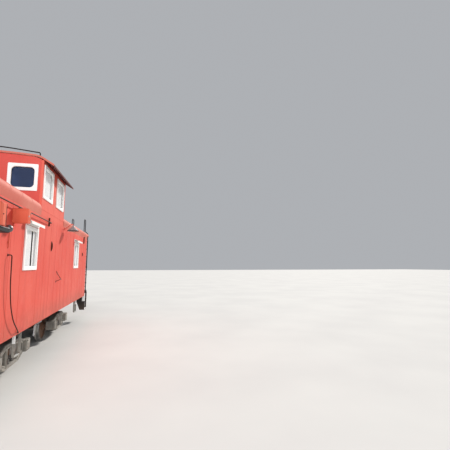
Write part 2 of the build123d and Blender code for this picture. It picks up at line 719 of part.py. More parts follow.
put("stirrup_steps", *stirrups())
put("hand_brake", hand_brake(FAR))
put("wall_lamps", wall_lamp(RIGHT), wall_lamp(LEFT))
box, lamp = corner_box()
put("wall_cabinets", service_box(), box)
put("corner_lamp", lamp)
put("smoke_stack", smoke_stack())
put("air_brake_gear", *brake_gear())

for tag, e in (("near", NEAR), ("far", FAR)):
    cx = e * TRUCK_X
    put("truck_frames_" + tag, side_frame(cx, RIGHT), side_frame(cx, LEFT))
    put("truck_bolster_" + tag, truck_bolster(cx))
    put("truck_springs_" + tag, *truck_springs(cx))
    put("brake_beams_" + tag, *brake_beams(cx))
    put("wheelset_%s_outer" % tag, wheelset(cx + e * WHEELBASE / 2))
    put("wheelset_%s_inner" % tag, wheelset(cx - e * WHEELBASE / 2))
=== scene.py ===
import bmesh
import bpy
import json
import math
import random
from mathutils import Matrix, Vector


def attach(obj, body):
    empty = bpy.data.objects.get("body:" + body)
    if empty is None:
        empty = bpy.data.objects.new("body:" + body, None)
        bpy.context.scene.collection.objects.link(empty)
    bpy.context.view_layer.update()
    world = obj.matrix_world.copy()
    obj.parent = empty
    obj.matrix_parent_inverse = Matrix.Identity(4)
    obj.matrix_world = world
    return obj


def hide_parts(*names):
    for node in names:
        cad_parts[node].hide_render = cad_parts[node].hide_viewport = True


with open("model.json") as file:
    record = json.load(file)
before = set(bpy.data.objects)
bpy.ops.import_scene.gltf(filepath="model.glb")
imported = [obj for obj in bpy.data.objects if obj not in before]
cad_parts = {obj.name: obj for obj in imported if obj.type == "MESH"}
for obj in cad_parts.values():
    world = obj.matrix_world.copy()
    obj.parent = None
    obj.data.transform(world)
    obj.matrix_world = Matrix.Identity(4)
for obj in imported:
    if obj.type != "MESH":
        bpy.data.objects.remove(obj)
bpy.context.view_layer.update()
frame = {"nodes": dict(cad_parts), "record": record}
NODES = frame["nodes"]
BODIES = frame["record"]["behaviour"]["bodies"]
BODY_OF = {n: b for b, ns in BODIES.items() for n in ns}
random.seed(7)

# ------------------------------------------------------------------ sizes, metres
SILL_Z, DECK_Z, EAVE_Z = 1.005, 1.180, 3.440
BODY_X, ROOF_X, SILL_X = 4.850, 5.250, 5.520
HALF_W, WALL = 1.450, 0.050
ROOF_W, ROOF_T, EAVE_R, EAVE_A = 1.462, 0.045, 0.150, math.radians(19)
CUP_X0, CUP_X1 = -2.190, 0.120
CUP_SIDE_Z, CUP_CROWN_Z, CUP_CROWN_R = 4.515, 4.660, 20.0
CUP_BEND_Y, CUP_BEND_R, CUP_SLOPE, CUP_EAVE_Y = 1.260, 0.400, math.radians(32), 1.655
CUP_ROOF_T, CUP_OVER = 0.036, 0.025
SIDE_WINDOWS = [(-2.720, 2.560, 0.850, 0.850), (2.440, 2.560, 0.850, 0.850)]
CUP_SIDE_WINDOWS = [(-1.710, 4.060, 0.840, 0.750), (-0.480, 4.060, 0.840, 0.750)]
CUP_END_WINDOWS = [(-1.055, 4.110, 0.590, 0.590), (1.055, 4.110, 0.590, 0.590)]
END_WINDOWS = [(-0.920, 2.560, 0.500, 0.720), (0.920, 2.560, 0.500, 0.720)]
FRAME_W, FRAME_OUT, GAP = 0.072, 0.022, 0.060
BLIND_GAP, BLIND_SHIFT = 0.090, 0.150
DOOR_W, DOOR_H = 0.760, 1.960
TRUCK_X, WHEELBASE, FRAME_Y, FRAME_T, BOX_OUT, AXLE_Z = 2.150, 1.676, 1.010, 0.150, 0.130, 0.4444
RAIL_X = SILL_X - 0.070
STEP_X0, STEP_X1 = BODY_X + 0.030, SILL_X - 0.150
TREADS = [(0.950, 1.150, 1.320), (0.720, 1.230, 1.400), (0.490, 1.300, 1.470)]
LADDER_Y, LADDER_LOW_Y, LADDER_X, LADDER_TOP = (0.790, 1.270), 1.385, SILL_X + 0.032, 4.190
STRAIGHT = [(-4.700, -3.550, 3.215), (-3.050, -1.450, 3.215)]
CORNER = [(-3.915, 2.395), (-3.890, 1.880), (-3.790, 1.540), (-3.625, 1.300), (-3.375, 1.110)]
CORNER_FOOT = (-3.155, 1.044)
LAMP_X, LAMP_Z = 0.330, 3.205
HANDRAIL = [(1.360, 4.676), (0.690, 4.745), (0.0, 4.770)]

# ------------------------------------------------------------------ camera
EYE = Vector((-10.061, -3.461, 2.224))
YAW, PITCH = math.radians(14.77), math.radians(6.91)
cam_data = bpy.data.cameras.new("camera")
cam_data.sensor_fit = "HORIZONTAL"
cam_data.sensor_width = 36.0
cam_data.lens = 334.8 / 450.0 * 36.0
cam_data.clip_end = 500.0
cam = bpy.data.objects.new("camera", cam_data)
bpy.context.scene.collection.objects.link(cam)
look = Vector((math.cos(YAW) * math.cos(PITCH), -math.sin(YAW) * math.cos(PITCH), math.sin(PITCH)))
cam.location = EYE
cam.rotation_euler = look.to_track_quat("-Z", "Y").to_euler()
bpy.context.scene.camera = cam


# ================================================================== materials
class Mat:
    """A node material on the object's own coordinates, which are metres in the row frame."""

    def __init__(self, name, color=(0.5, 0.5, 0.5), rough=0.5, metal=0.0, **sockets):
        self.m = bpy.data.materials.new(name)
        self.m.use_nodes = True
        self.t = self.m.node_tree
        self.b = self.t.nodes["Principled BSDF"]
        self.b.inputs["Base Color"].default_value = (*color, 1)
        self.b.inputs["Roughness"].default_value = rough
        self.b.inputs["Metallic"].default_value = metal
        for k, v in sockets.items():
            self.b.inputs[k.replace("_", " ")].default_value = v
        self.obj = self.t.nodes.new("ShaderNodeTexCoord").outputs["Object"]
        self.normal = None

    def add(self, kind, **props):
        n = self.t.nodes.new(kind)
        for k, v in props.items():
            setattr(n, k, v)
        return n

    def put(self, socket, value):
        if isinstance(value, bpy.types.NodeSocket):
            self.t.links.new(value, socket)
        elif isinstance(value, tuple) and len(value) == 3 and socket.type == "RGBA":
            socket.default_value = (*value, 1)
        else:
            socket.default_value = value

    def stretch(self, s, turn=(0, 0, 0)):
        n = self.add("ShaderNodeMapping")
        self.put(n.inputs["Vector"], self.obj)
        n.inputs["Scale"].default_value = s
        n.inputs["Rotation"].default_value = turn
        return n.outputs[0]

    def noise(self, scale, detail=4.0, rough=0.5, vec=None, warp=0.0):
        n = self.add("ShaderNodeTexNoise")
        self.put(n.inputs["Vector"], vec or self.obj)
        n.inputs["Scale"].default_value = scale
        n.inputs["Detail"].default_value = detail
        n.inputs["Roughness"].default_value = rough
        n.inputs["Distortion"].default_value = warp
        return n.outputs["Fac"]

    def voronoi(self, scale, feature="F1", vec=None, rand=1.0):
        n = self.add("ShaderNodeTexVoronoi", feature=feature)
        self.put(n.inputs["Vector"], vec or self.obj)
        n.inputs["Scale"].default_value = scale
        n.inputs["Randomness"].default_value = rand
        return n.outputs["Distance"]

    def fit(self, v, a, b, c=0.0, d=1.0, smooth=False):
        n = self.add("ShaderNodeMapRange")
        if smooth:
            n.interpolation_type = "SMOOTHSTEP"
        self.put(n.inputs["Value"], v)
        for k, x in (("From Min", a), ("From Max", b), ("To Min", c), ("To Max", d)):
            n.inputs[k].default_value = x
        return n.outputs["Result"]

    def math(self, op, a, b=0.0, c=None):
        n = self.add("ShaderNodeMath", operation=op)
        self.put(n.inputs[0], a)
        self.put(n.inputs[1], b)
        if c is not None:
            self.put(n.inputs[2], c)
        return n.outputs[0]

    def mix(self, f, a, b, mode="MIX"):
        n = self.add("ShaderNodeMix", data_type="RGBA", blend_type=mode)
        n.clamp_factor = True
        self.put(n.inputs[0], f)
        self.put(n.inputs[6], a)
        self.put(n.inputs[7], b)
        return n.outputs[2]

    def xyz(self):
        n = self.add("ShaderNodeSeparateXYZ")
        self.put(n.inputs[0], self.obj)
        return n.outputs

    def color(self, v):
        self.put(self.b.inputs["Base Color"], v)

    def rough(self, v):
        self.put(self.b.inputs["Roughness"], v)

    def bump(self, height, strength=1.0, distance=1.0):
        n = self.add("ShaderNodeBump")
        n.inputs["Strength"].default_value = strength
        n.inputs["Distance"].default_value = distance
        self.put(n.inputs["Height"], height)
        if self.normal is not None:
            self.put(n.inputs["Normal"], self.normal)
        self.normal = n.outputs[0]
        self.put(self.b.inputs["Normal"], self.normal)


def paint(name, base, faded, dark, chip, rough=0.45, fade=0.5, streak=0.3, chips=0.5, dirt=0.35,
          dirt_z=None, can=0.0022, peel=0.0003, painted_light_band=None, gloss=0.14):
    """Old brushed or sprayed paint on steel: fading in clouds, rain streaks, small chips, dirt low down, and an
    optional band up high that is painted light, blended to the faded tone where more light falls.
    """
    m = Mat(name, base, rough, Specular_IOR_Level=gloss)
    cloud = m.noise(0.62, 3.0, 0.55)
    mid = m.noise(3.1, 5.0, 0.6)
    rain = m.noise(1.0, 5.0, 0.62, m.stretch((7.0, 7.0, 0.42)))
    thin = m.noise(1.0, 4.0, 0.6, m.stretch((26.0, 26.0, 1.1)))
    speck = m.noise(21.0, 8.0, 0.68)
    fine = m.noise(85.0, 3.0, 0.6)
    c = m.mix(m.fit(cloud, 0.36, 0.66, 0.0, fade), base, faded)
    c = m.mix(m.fit(mid, 0.50, 0.78, 0.0, fade * 0.55), c, faded)
    c = m.mix(m.fit(rain, 0.52, 0.74, 0.0, streak), c, dark)
    c = m.mix(m.fit(rain, 0.46, 0.28, 0.0, streak * 0.8), c, faded)
    c = m.mix(m.fit(thin, 0.58, 0.76, 0.0, streak * 0.7), c, dark)
    c = m.mix(m.fit(fine, 0.30, 0.70, 0.0, 0.10), c, dark)
    z = m.xyz()["Z"]
    # painted highlight: over this height band the colour is blended to the lighter faded tone, for the extra light on
    # the upward-curving eave
    if painted_light_band is not None:
        c = m.mix(m.fit(z, painted_light_band[0], painted_light_band[1], 0.0, painted_light_band[2]), c, faded)
    if dirt_z is not None:
        low = m.fit(z, dirt_z[0], dirt_z[1], 1.0, 0.0, True)
        c = m.mix(m.math("MULTIPLY", low, m.fit(mid, 0.35, 0.65, dirt * 0.35, dirt)), c, (0.16, 0.105, 0.075))
    flaw = m.fit(speck, 0.715, 0.735, 0.0, chips)
    c = m.mix(flaw, c, chip)
    m.color(c)
    m.rough(m.math("ADD", m.fit(mid, 0.3, 0.7, rough - 0.07, rough + 0.10), m.fit(speck, 0.4, 0.75, 0.0, 0.10)))
    if can:
        m.bump(m.math("MULTIPLY", m.noise(1.5, 1.5, 0.4, m.stretch((1.0, 1.0, 0.6))), can * 9.0))
    m.bump(m.math("ADD", m.math("MULTIPLY", fine, peel * 1.6), m.math("MULTIPLY", flaw, -peel)))
    return m


MATS = {}
RED_BASE, RED_FADED, RED_DARK = (0.66, 0.082, 0.056), (0.74, 0.150, 0.104), (0.42, 0.032, 0.024)
PRIMER = (0.30, 0.085, 0.05)
# the side red is painted lighter from z 3.22 to 3.36: a painted highlight where the eave turns up into the light
MATS["red"] = paint("red_side_paint", RED_BASE, RED_FADED, RED_DARK, PRIMER, 0.50, 0.45, 0.34, 0.7, 0.4, (1.0, 1.5), 0.0022,
                    painted_light_band=(3.22, 3.36, 0.45))
# the end walls, doors and cupola ends take a darker copy of the side red: painted shade for faces turned away from the
# light
MATS["red_end"] = paint("red_end_paint", (0.60, 0.074, 0.058), (0.67, 0.115, 0.092), RED_DARK, PRIMER, 0.48, 0.45, 0.22, 0.6, 0.3, (1.15, 1.5), 0.0016)
MATS["red_roof"] = paint("red_roof_paint", (0.53, 0.118, 0.083), (0.60, 0.205, 0.152), (0.44, 0.07, 0.05), PRIMER, 0.58, 0.75, 0.12, 0.8, 0.0, None, 0.0014)
# near-black red for the undersides of the end and cupola overhangs: painted shade, standing for the shadow under the
# eaves
MATS["underside_shade"] = paint("underside_painted_shade", (0.085, 0.011, 0.010), (0.12, 0.020, 0.017), (0.05, 0.008, 0.007), PRIMER, 0.6, 0.5, 0.2, 0.6, 0.0, None, 0.0)
MATS["white"] = paint("white_frame_paint", (0.86, 0.86, 0.84), (0.92, 0.91, 0.89), (0.62, 0.60, 0.56), (0.30, 0.16, 0.11), 0.38, 0.5, 0.28, 0.35, 0.0, None, 0.0)
MATS["black"] = paint("black_iron_paint", (0.013, 0.012, 0.013), (0.036, 0.033, 0.032), (0.007, 0.006, 0.007), (0.13, 0.05, 0.025), 0.50, 0.6, 0.3, 0.8, 0.5, (0.2, 1.1), 0.0)
MATS["iron"] = paint("grab_iron_paint", (0.045, 0.014, 0.010), (0.10, 0.036, 0.022), (0.018, 0.008, 0.007), (0.20, 0.07, 0.03), 0.42, 0.6, 0.3, 0.8, 0.0, None, 0.0)
MATS["cabinet"] = paint("cabinet_paint", (0.66, 0.125, 0.068), (0.74, 0.21, 0.13), (0.46, 0.055, 0.034), PRIMER, 0.40, 0.5, 0.26, 0.5, 0.0, None, 0.0)
MATS["cream"] = paint("inside_paint", (0.42, 0.40, 0.33), (0.50, 0.48, 0.40), (0.30, 0.28, 0.23), (0.20, 0.17, 0.13), 0.6, 0.5, 0.12, 0.2, 0.0, None, 0.0)


def cast_material(name, base, light, rust, amount, rough=0.68):
    m = Mat(name, base, rough)
    a, b, c = m.noise(2.4, 5.0, 0.6), m.noise(14.0, 7.0, 0.65), m.noise(120.0, 3.0, 0.6)
    col = m.mix(m.fit(a, 0.35, 0.65, 0.0, 0.85), base, light)
    col = m.mix(m.fit(b, 0.52, 0.66, 0.0, amount), col, rust)
    col = m.mix(m.fit(c, 0.35, 0.7, 0.0, 0.25), col, tuple(x * 0.55 for x in base))
    m.color(col)
    m.rough(m.fit(b, 0.3, 0.7, rough - 0.12, rough + 0.14))
    m.bump(m.math("MULTIPLY", c, 0.0011))
    m.bump(m.math("MULTIPLY", b, 0.0016))
    return m


MATS["cast"] = cast_material("dusty_casting", (0.155, 0.143, 0.125), (0.40, 0.375, 0.325), (0.17, 0.075, 0.035), 0.5)
MATS["cast_dark"] = cast_material("dark_casting", (0.06, 0.054, 0.05), (0.14, 0.125, 0.11), (0.15, 0.06, 0.028), 0.6)
MATS["rust"] = cast_material("rusty_steel", (0.115, 0.055, 0.032), (0.19, 0.105, 0.062), (0.24, 0.085, 0.03), 0.7, 0.75)


def tread_material():
    m = Mat("worn_tread_steel", (0.42, 0.41, 0.40), 0.28, 1.0)
    a = m.noise(1.0, 4.0, 0.6, m.stretch((9.0, 60.0, 9.0)))
    b = m.noise(20.0, 6.0, 0.65)
    c = m.mix(m.fit(a, 0.3, 0.7), (0.36, 0.34, 0.32), (0.56, 0.55, 0.53))
    m.color(m.mix(m.fit(b, 0.60, 0.68, 0.0, 0.6), c, (0.20, 0.09, 0.045)))
    m.rough(m.fit(b, 0.3, 0.7, 0.22, 0.5))
    m.bump(m.math("MULTIPLY", a, 0.0004))
    return m


MATS["tread"] = tread_material()


def metal(name, color, rough, scale=30.0, tint=0.35):
    m = Mat(name, color, rough, 0.9)
    a, b = m.noise(scale, 5.0, 0.6), m.noise(scale * 6, 3.0, 0.5)
    m.color(m.mix(m.fit(a, 0.35, 0.7, 0.0, tint), color, tuple(x * 0.45 for x in color)))
    m.rough(m.fit(a, 0.3, 0.7, rough, rough + 0.22))
    m.bump(m.math("MULTIPLY", b, 0.00025))
    return m


MATS["zinc"] = metal("zinc_steel", (0.46, 0.46, 0.47), 0.38)
MATS["brass"] = metal("old_brass", (0.48, 0.34, 0.13), 0.32)


def enamel():
    m = Mat("grey_enamel", (0.30, 0.27, 0.28), 0.3)
    a, b = m.noise(9.0, 5.0, 0.6), m.noise(160.0, 2.0)
    z = m.xyz()["Z"]
    c = m.mix(m.fit(a, 0.35, 0.7, 0.0, 0.6), (0.27, 0.235, 0.235), (0.36, 0.32, 0.315))
    c = m.mix(m.math("MULTIPLY", m.fit(a, 0.5, 0.66, 0.0, 0.7), m.fit(z, LAMP_Z + 0.03, LAMP_Z, 0.0, 1.0)), c, (0.14, 0.06, 0.035))
    m.color(c)
    m.rough(m.fit(a, 0.3, 0.7, 0.24, 0.46))
    m.bump(m.math("MULTIPLY", b, 0.0002))
    return m


MATS["enamel"] = enamel()


def lamp_inside():
    m = Mat("white_enamel_inside", (0.30, 0.29, 0.28), 0.35)
    a = m.noise(14.0, 5.0, 0.6)
    m.color(m.mix(m.fit(a, 0.4, 0.7, 0.0, 0.5), (0.34, 0.33, 0.32), (0.20, 0.17, 0.14)))
    m.bump(m.math("MULTIPLY", m.noise(200.0, 2.0), 0.0002))
    return m


MATS["lamp_in"] = lamp_inside()


def glass(name, color, alpha, spec=0.2, wave=0.0006):
    m = Mat(name, color, 0.04, 0.0, Alpha=alpha, Specular_IOR_Level=spec)
    a = m.noise(2.2, 2.0, 0.5)
    m.color(m.mix(m.fit(a, 0.35, 0.65), color, tuple(x * 1.7 + 0.004 for x in color)))
    m.rough(m.fit(m.noise(9.0, 5.0, 0.6), 0.45, 0.75, 0.03, 0.14))
    m.bump(m.math("MULTIPLY", m.noise(1.7, 1.0), wave * 4))
    m.m.blend_method = "BLEND"
    return m


# cupola end panes: nearly opaque dark navy, a painted shade of the dark inside and a painted blue reflection
MATS["glass_dark"] = glass("navy_painted_reflection_glass", (0.007, 0.020, 0.068), 0.94, 0.08)
MATS["glass"] = glass("clear_glass", (0.030, 0.038, 0.050), 0.05)


MATS["ball"] = metal("dark_ball_metal", (0.17, 0.16, 0.165), 0.30)


def bulb_glass():
    m = Mat("frosted_bulb", (0.85, 0.84, 0.80), 0.3)
    m.color(m.mix(m.fit(m.noise(30.0, 3.0), 0.4, 0.7), (0.86, 0.85, 0.82), (0.74, 0.72, 0.68)))
    m.bump(m.math("MULTIPLY", m.noise(260.0, 2.0), 0.0002))
    return m


MATS["bulb"] = bulb_glass()


def rubber():
    m = Mat("black_rubber", (0.015, 0.015, 0.016), 0.62)
    a = m.noise(40.0, 5.0, 0.6)
    m.color(m.mix(m.fit(a, 0.4, 0.7), (0.012, 0.012, 0.013), (0.035, 0.034, 0.034)))
    m.rough(m.fit(a, 0.3, 0.7, 0.5, 0.75))
    m.bump(m.math("MULTIPLY", m.noise(220.0, 2.0), 0.0003))
    return m


MATS["rubber"] = rubber()


def cloth():
    m = Mat("curtain_cloth", (0.84, 0.84, 0.83), 0.9)
    m.b.inputs["Sheen Weight"].default_value = 0.25
    w1 = m.add("ShaderNodeTexWave", wave_type="BANDS", bands_direction="X")
    w2 = m.add("ShaderNodeTexWave", wave_type="BANDS", bands_direction="Z")
    for w in (w1, w2):
        m.put(w.inputs["Vector"], m.obj)
        w.inputs["Scale"].default_value = 190.0
        w.inputs["Distortion"].default_value = 1.2
    weave = m.math("MULTIPLY", w1.outputs["Fac"], w2.outputs["Fac"])
    a = m.noise(4.0, 4.0)
    c = m.mix(m.fit(a, 0.35, 0.7, 0.0, 0.5), (0.95, 0.95, 0.945), (0.90, 0.895, 0.885))
    m.color(m.mix(m.fit(weave, 0.0, 1.0, 0.10, 0.0), c, (0.78, 0.77, 0.76)))
    m.bump(m.math("MULTIPLY", weave, 0.0005))
    return m


MATS["cloth"] = cloth()


def boards():
    m = Mat("floor_boards", (0.26, 0.15, 0.08), 0.6)
    s = m.xyz()
    n = m.add("ShaderNodeTexBrick")
    v = m.add("ShaderNodeCombineXYZ")
    m.put(v.inputs[0], s["X"])
    m.put(v.inputs[1], s["Y"])
    m.put(n.inputs["Vector"], v.outputs[0])
    n.inputs["Scale"].default_value = 1.0
    n.inputs["Brick Width"].default_value = 1.6
    n.inputs["Row Height"].default_value = 0.09
    n.inputs["Mortar Size"].default_value = 0.0022
    m.put(n.inputs["Color1"], (0.30, 0.175, 0.095))
    m.put(n.inputs["Color2"], (0.20, 0.115, 0.062))
    m.put(n.inputs["Mortar"], (0.03, 0.02, 0.015))
    g = m.noise(1.0, 6.0, 0.65, m.stretch((2.2, 46.0, 30.0)), 0.6)
    m.color(m.mix(m.fit(g, 0.42, 0.68, 0.0, 0.55), n.outputs["Color"], (0.12, 0.065, 0.035)))
    m.rough(m.fit(g, 0.3, 0.7, 0.42, 0.7))
    m.bump(m.math("MULTIPLY", g, 0.0009))
    m.bump(m.math("MULTIPLY", n.outputs["Fac"], -0.0015))
    return m


MATS["wood"] = boards()


def deck_plate():
    """Raised tread plate in worn black paint."""
    m = Mat("tread_plate", (0.03, 0.03, 0.03), 0.5, 0.0)
    def rows(turn, shift):
        mp = m.add("ShaderNodeMapping")
        m.put(mp.inputs["Vector"], m.obj)
        mp.inputs["Rotation"].default_value = (0, 0, turn)
        mp.inputs["Location"].default_value = shift
        mp.inputs["Scale"].default_value = (24.0, 60.0, 1.0)
        return m.voronoi(1.0, "F1", mp.outputs[0], 0.0)
    a, b = rows(math.radians(45), (0, 0, 0)), rows(math.radians(-45), (0.5, 0.5, 0))
    h = m.fit(m.math("MINIMUM", a, b), 0.22, 0.42, 1.0, 0.0, True)
    w = m.noise(3.0, 6.0, 0.62)
    c = m.mix(m.fit(w, 0.42, 0.66, 0.0, 0.9), (0.028, 0.027, 0.027), (0.10, 0.075, 0.06))
    c = m.mix(m.math("MULTIPLY", h, m.fit(w, 0.35, 0.6, 0.1, 0.8)), c, (0.24, 0.21, 0.19))
    m.color(c)
    m.rough(m.fit(w, 0.3, 0.7, 0.38, 0.7))
    m.bump(m.math("MULTIPLY", h, 0.0022))
    return m


MATS["deck"] = deck_plate()

PICK = {k: v.m for k, v in MATS.items()}


# ================================================================== geometry
def at(p, n=(0, 0, 1), roll=0.0):
    """Matrix that puts the local origin at p with local Z along n."""
    q = Vector(n).to_track_quat("Z", "Y")
    return Matrix.Translation(Vector(p)) @ q.to_matrix().to_4x4() @ Matrix.Rotation(roll, 4, "Z")


def axes(o, u, v, n):
    """Matrix with origin o and columns u, v, n."""
    m = Matrix.Identity(4)
    for i, c in enumerate((u, v, n, o)):
        for j in range(3):
            m[j][i] = c[j]
    return m


def rounded(points, r, n=6):
    """The polyline with its corners rounded; r is one radius or one for each inner corner."""
    p = [Vector(q) for q in points]
    rs = [r] * (len(p) - 2) if isinstance(r, (int, float)) else list(r)
    out = [p[0]]
    for i in range(1, len(p) - 1):
        a, b = p[i - 1] - p[i], p[i + 1] - p[i]
        la, lb = a.length, b.length
        a.normalize(), b.normalize()
        half = a.angle(b) / 2
        if half > math.radians(89.9):
            out.append(p[i])
            continue
        t = min(rs[i - 1] / math.tan(half), 0.49 * la, 0.49 * lb)
        rr = t * math.tan(half)
        c = p[i] + (a + b).normalized() * (rr / math.sin(half))
        v0, v1 = (p[i] + a * t - c).normalized(), (p[i] + b * t - c).normalized()
        for k in range(n + 1):
            out.append(c + v0.slerp(v1, k / n) * rr)
    out.append(p[-1])
    return out


def rrect(w, h, r, n=5):
    """Rounded rectangle about the origin, counter-clockwise."""
    out = []
    for cx, cy, a0 in ((w / 2 - r, h / 2 - r, 0), (-w / 2 + r, h / 2 - r, 90), (-w / 2 + r, -h / 2 + r, 180), (w / 2 - r, -h / 2 + r, 270)):
        for k in range(n + 1):
            a = math.radians(a0 + 90 * k / n)
            out.append((cx + r * math.cos(a), cy + r * math.sin(a)))
    return out


def inset(poly, d):
    """The polygon moved in by d at each edge (counter-clockwise)."""
    out, n = [], len(poly)
    for i in range(n):
        a, b, c = Vector(poly[i - 1]), Vector(poly[i]), Vector(poly[(i + 1) % n])
        e, f = (b - a).normalized(), (c - b).normalized()
        n1, n2 = Vector((-e.y, e.x)), Vector((-f.y, f.x))
        k = n1 + n2
        k = k / max(0.25, k.dot(n1))
        out.append((b.x + k.x * d, b.y + k.y * d))
    return out


class Geo:
    """Vertices and faces of one piece, each face with a material number."""

    def __init__(self):
        self.v, self.f, self.m = [], [], []

    def add(self, verts, faces, mat=0, T=None):
        o = len(self.v)
        self.v += [tuple(T @ Vector(p)) if T is not None else tuple(p) for p in verts]
        for f in faces:
            self.f.append(tuple(o + i for i in f))
            self.m.append(mat)

    def box(self, lo, hi, b=0.003, mat=0, T=None):
        lo, hi = [min(p, q) for p, q in zip(lo, hi)], [max(p, q) for p, q in zip(lo, hi)]
        b = min(b, 0.45 * min(h - l for l, h in zip(lo, hi)))
        P, F = [], []
        for k in range(8):
            c = [hi[i] if k >> i & 1 else lo[i] for i in range(3)]
            s = [-1 if k >> i & 1 else 1 for i in range(3)]
            for ax in range(3):
                P.append([c[i] + (0 if i == ax else s[i] * b) for i in range(3)])
        for ax in range(3):
            u, w = (ax + 1) % 3, (ax + 2) % 3
            for side in (0, 1):
                F.append([3 * (side << ax | a << u | c << w) + ax for a, c in ((0, 0), (1, 0), (1, 1), (0, 1))])
            for a in (0, 1):
                for c in (0, 1):
                    k0 = a << u | c << w
                    k1 = k0 | 1 << ax
                    F.append([3 * k0 + u, 3 * k1 + u, 3 * k1 + w, 3 * k0 + w])
        for k in range(8):
            F.append([3 * k, 3 * k + 1, 3 * k + 2])
        self.add(P, F, mat, T)

    def skin(self, loops, mat=0, T=None, ring=True, cap0=False, cap1=False, closed=False):
        """Faces between loops of equal count; ring joins each loop's ends, closed joins last to first."""
        n = len(loops[0])
        P = [p for l in loops for p in l]
        F = []
        rows = len(loops) if closed else len(loops) - 1
        for i in range(rows):
            j = (i + 1) % len(loops)
            for k in range(n if ring else n - 1):
                k2 = (k + 1) % n
                F.append([i * n + k, i * n + k2, j * n + k2, j * n + k])
        if cap0:
            F.append(list(range(n)))
        if cap1:
            F.append([(len(loops) - 1) * n + k for k in range(n)])
        self.add(P, F, mat, T)

    def prism(self, poly, h, b=0.0, mat=0, T=None):
        """Polygon (counter-clockwise) in local XY raised to local Z = h, edges broken by b."""
        if b:
            q = inset(poly, b)
            loops = [[(x, y, 0) for x, y in q], [(x, y, b) for x, y in poly], [(x, y, h - b) for x, y in poly], [(x, y, h) for x, y in q]]
        else:
            loops = [[(x, y, 0) for x, y in poly], [(x, y, h) for x, y in poly]]
        self.skin(loops, mat, T, cap0=True, cap1=True)

    def lathe(self, prof, T=None, seg=32, mat=0):
        """Profile (radius, height) turned about local Z; a radius of 0 at an end closes it."""
        loops, c0, c1 = [], prof[0][0] < 1e-9, prof[-1][0] < 1e-9
        body = prof[(1 if c0 else 0):(len(prof) - 1 if c1 else len(prof))]
        cs = [(math.cos(2 * math.pi * k / seg), math.sin(2 * math.pi * k / seg)) for k in range(seg)]
        P = [(r * c, r * s, h) for r, h in body for c, s in cs]
        F = []
        for i in range(len(body) - 1):
            for k in range(seg):
                k2 = (k + 1) % seg
                F.append([i * seg + k, i * seg + k2, (i + 1) * seg + k2, (i + 1) * seg + k])
        if c0:
            P.append((0, 0, prof[0][1]))
            F += [[len(P) - 1, (k + 1) % seg, k] for k in range(seg)]
        if c1:
            P.append((0, 0, prof[-1][1]))
            o = (len(body) - 1) * seg
            F += [[len(P) - 1, o + k, o + (k + 1) % seg] for k in range(seg)]
        self.add(P, F, mat, T)

    def cyl(self, p, q, r, seg=20, b=0.002, mat=0, r2=None):
        p, q = Vector(p), Vector(q)
        h = (q - p).length
        r2 = r if r2 is None else r2
        b = min(b, r * 0.4, h * 0.4)
        self.lathe([(0, 0), (r - b, 0), (r, b), (r2, h - b), (r2 - b, h), (0, h)], at(p, q - p), seg, mat)

    def tube(self, pts, r, seg=12, mat=0, closed=False, flat=None):
        """Round bar along points; flat=(a, b) squeezes its section."""
        p = [Vector(q) for q in pts]
        keep = [p[0]]
        for q in p[1:]:
            if (q - keep[-1]).length > 1e-5:
                keep.append(q)
        p = keep
        n = len(p)
        tang = []
        for i in range(n):
            if closed:
                t = p[(i + 1) % n] - p[i - 1]
            else:
                t = (p[min(i + 1, n - 1)] - p[max(i - 1, 0)])
            tang.append(t.normalized())
        up = Vector((0, 0, 1)) if abs(tang[0].z) < 0.9 else Vector((0, 1, 0))
        u = (up - tang[0] * up.dot(tang[0])).normalized()
        loops = []
        fa, fb = flat or (1.0, 1.0)
        for i in range(n):
            if i:
                u = (u - tang[i] * u.dot(tang[i]))
                u.normalize()
            w = tang[i].cross(u)
            loops.append([p[i] + u * (r * fa * math.cos(2 * math.pi * k / seg)) + w * (r * fb * math.sin(2 * math.pi * k / seg)) for k in range(seg)])
        self.skin(loops, mat, None, cap0=not closed, cap1=not closed, closed=closed)

    def ball(self, p, r, mat=0, seg=20, rows=10, T=None):
        prof = [(r * math.sin(math.pi * k / rows), -r * math.cos(math.pi * k / rows)) for k in range(rows + 1)]
        prof[0], prof[-1] = (0, -r), (0, r)
        self.lathe(prof, (T or Matrix.Identity(4)) @ Matrix.Translation(Vector(p)), seg, mat)

    def bolt(self, p, n, r=0.013, h=0.010, mat=0, washer=True):
        T = at(p, n, random.uniform(0, 1))
        if washer:
            self.lathe([(r * 1.55, -0.001), (r * 1.55, 0.0022), (r * 1.45, 0.003), (0, 0.003)], T, 14, mat)
        hexa = [(r * math.cos(math.pi / 3 * k), r * math.sin(math.pi / 3 * k)) for k in range(6)]
        q = [(x * 0.86, y * 0.86) for x, y in hexa]
        z0 = 0.003 if washer else -0.001
        self.skin([[(x, y, z0) for x, y in hexa], [(x, y, z0 + h * 0.8) for x, y in hexa], [(x, y, z0 + h) for x, y in q]], mat, T, cap1=True)

    def rivet(self, p, n, r=0.010, mat=0):
        T = at(p, n)
        self.lathe([(r, -0.001), (r * 0.86, r * 0.32), (r * 0.5, r * 0.56), (0, r * 0.64)], T, 10, mat)


def finish_mesh(me, sharp, close=1e-5):
    bm = bmesh.new()
    bm.from_mesh(me)
    if close:
        bmesh.ops.remove_doubles(bm, verts=bm.verts, dist=close)
    bmesh.ops.recalc_face_normals(bm, faces=bm.faces)
    lim = math.radians(sharp)
    for e in bm.edges:
        e.smooth = not (len(e.link_faces) == 2 and e.calc_face_angle(0.0) > lim)
    for f in bm.faces:
        f.smooth = True
    bm.to_mesh(me)
    bm.free()


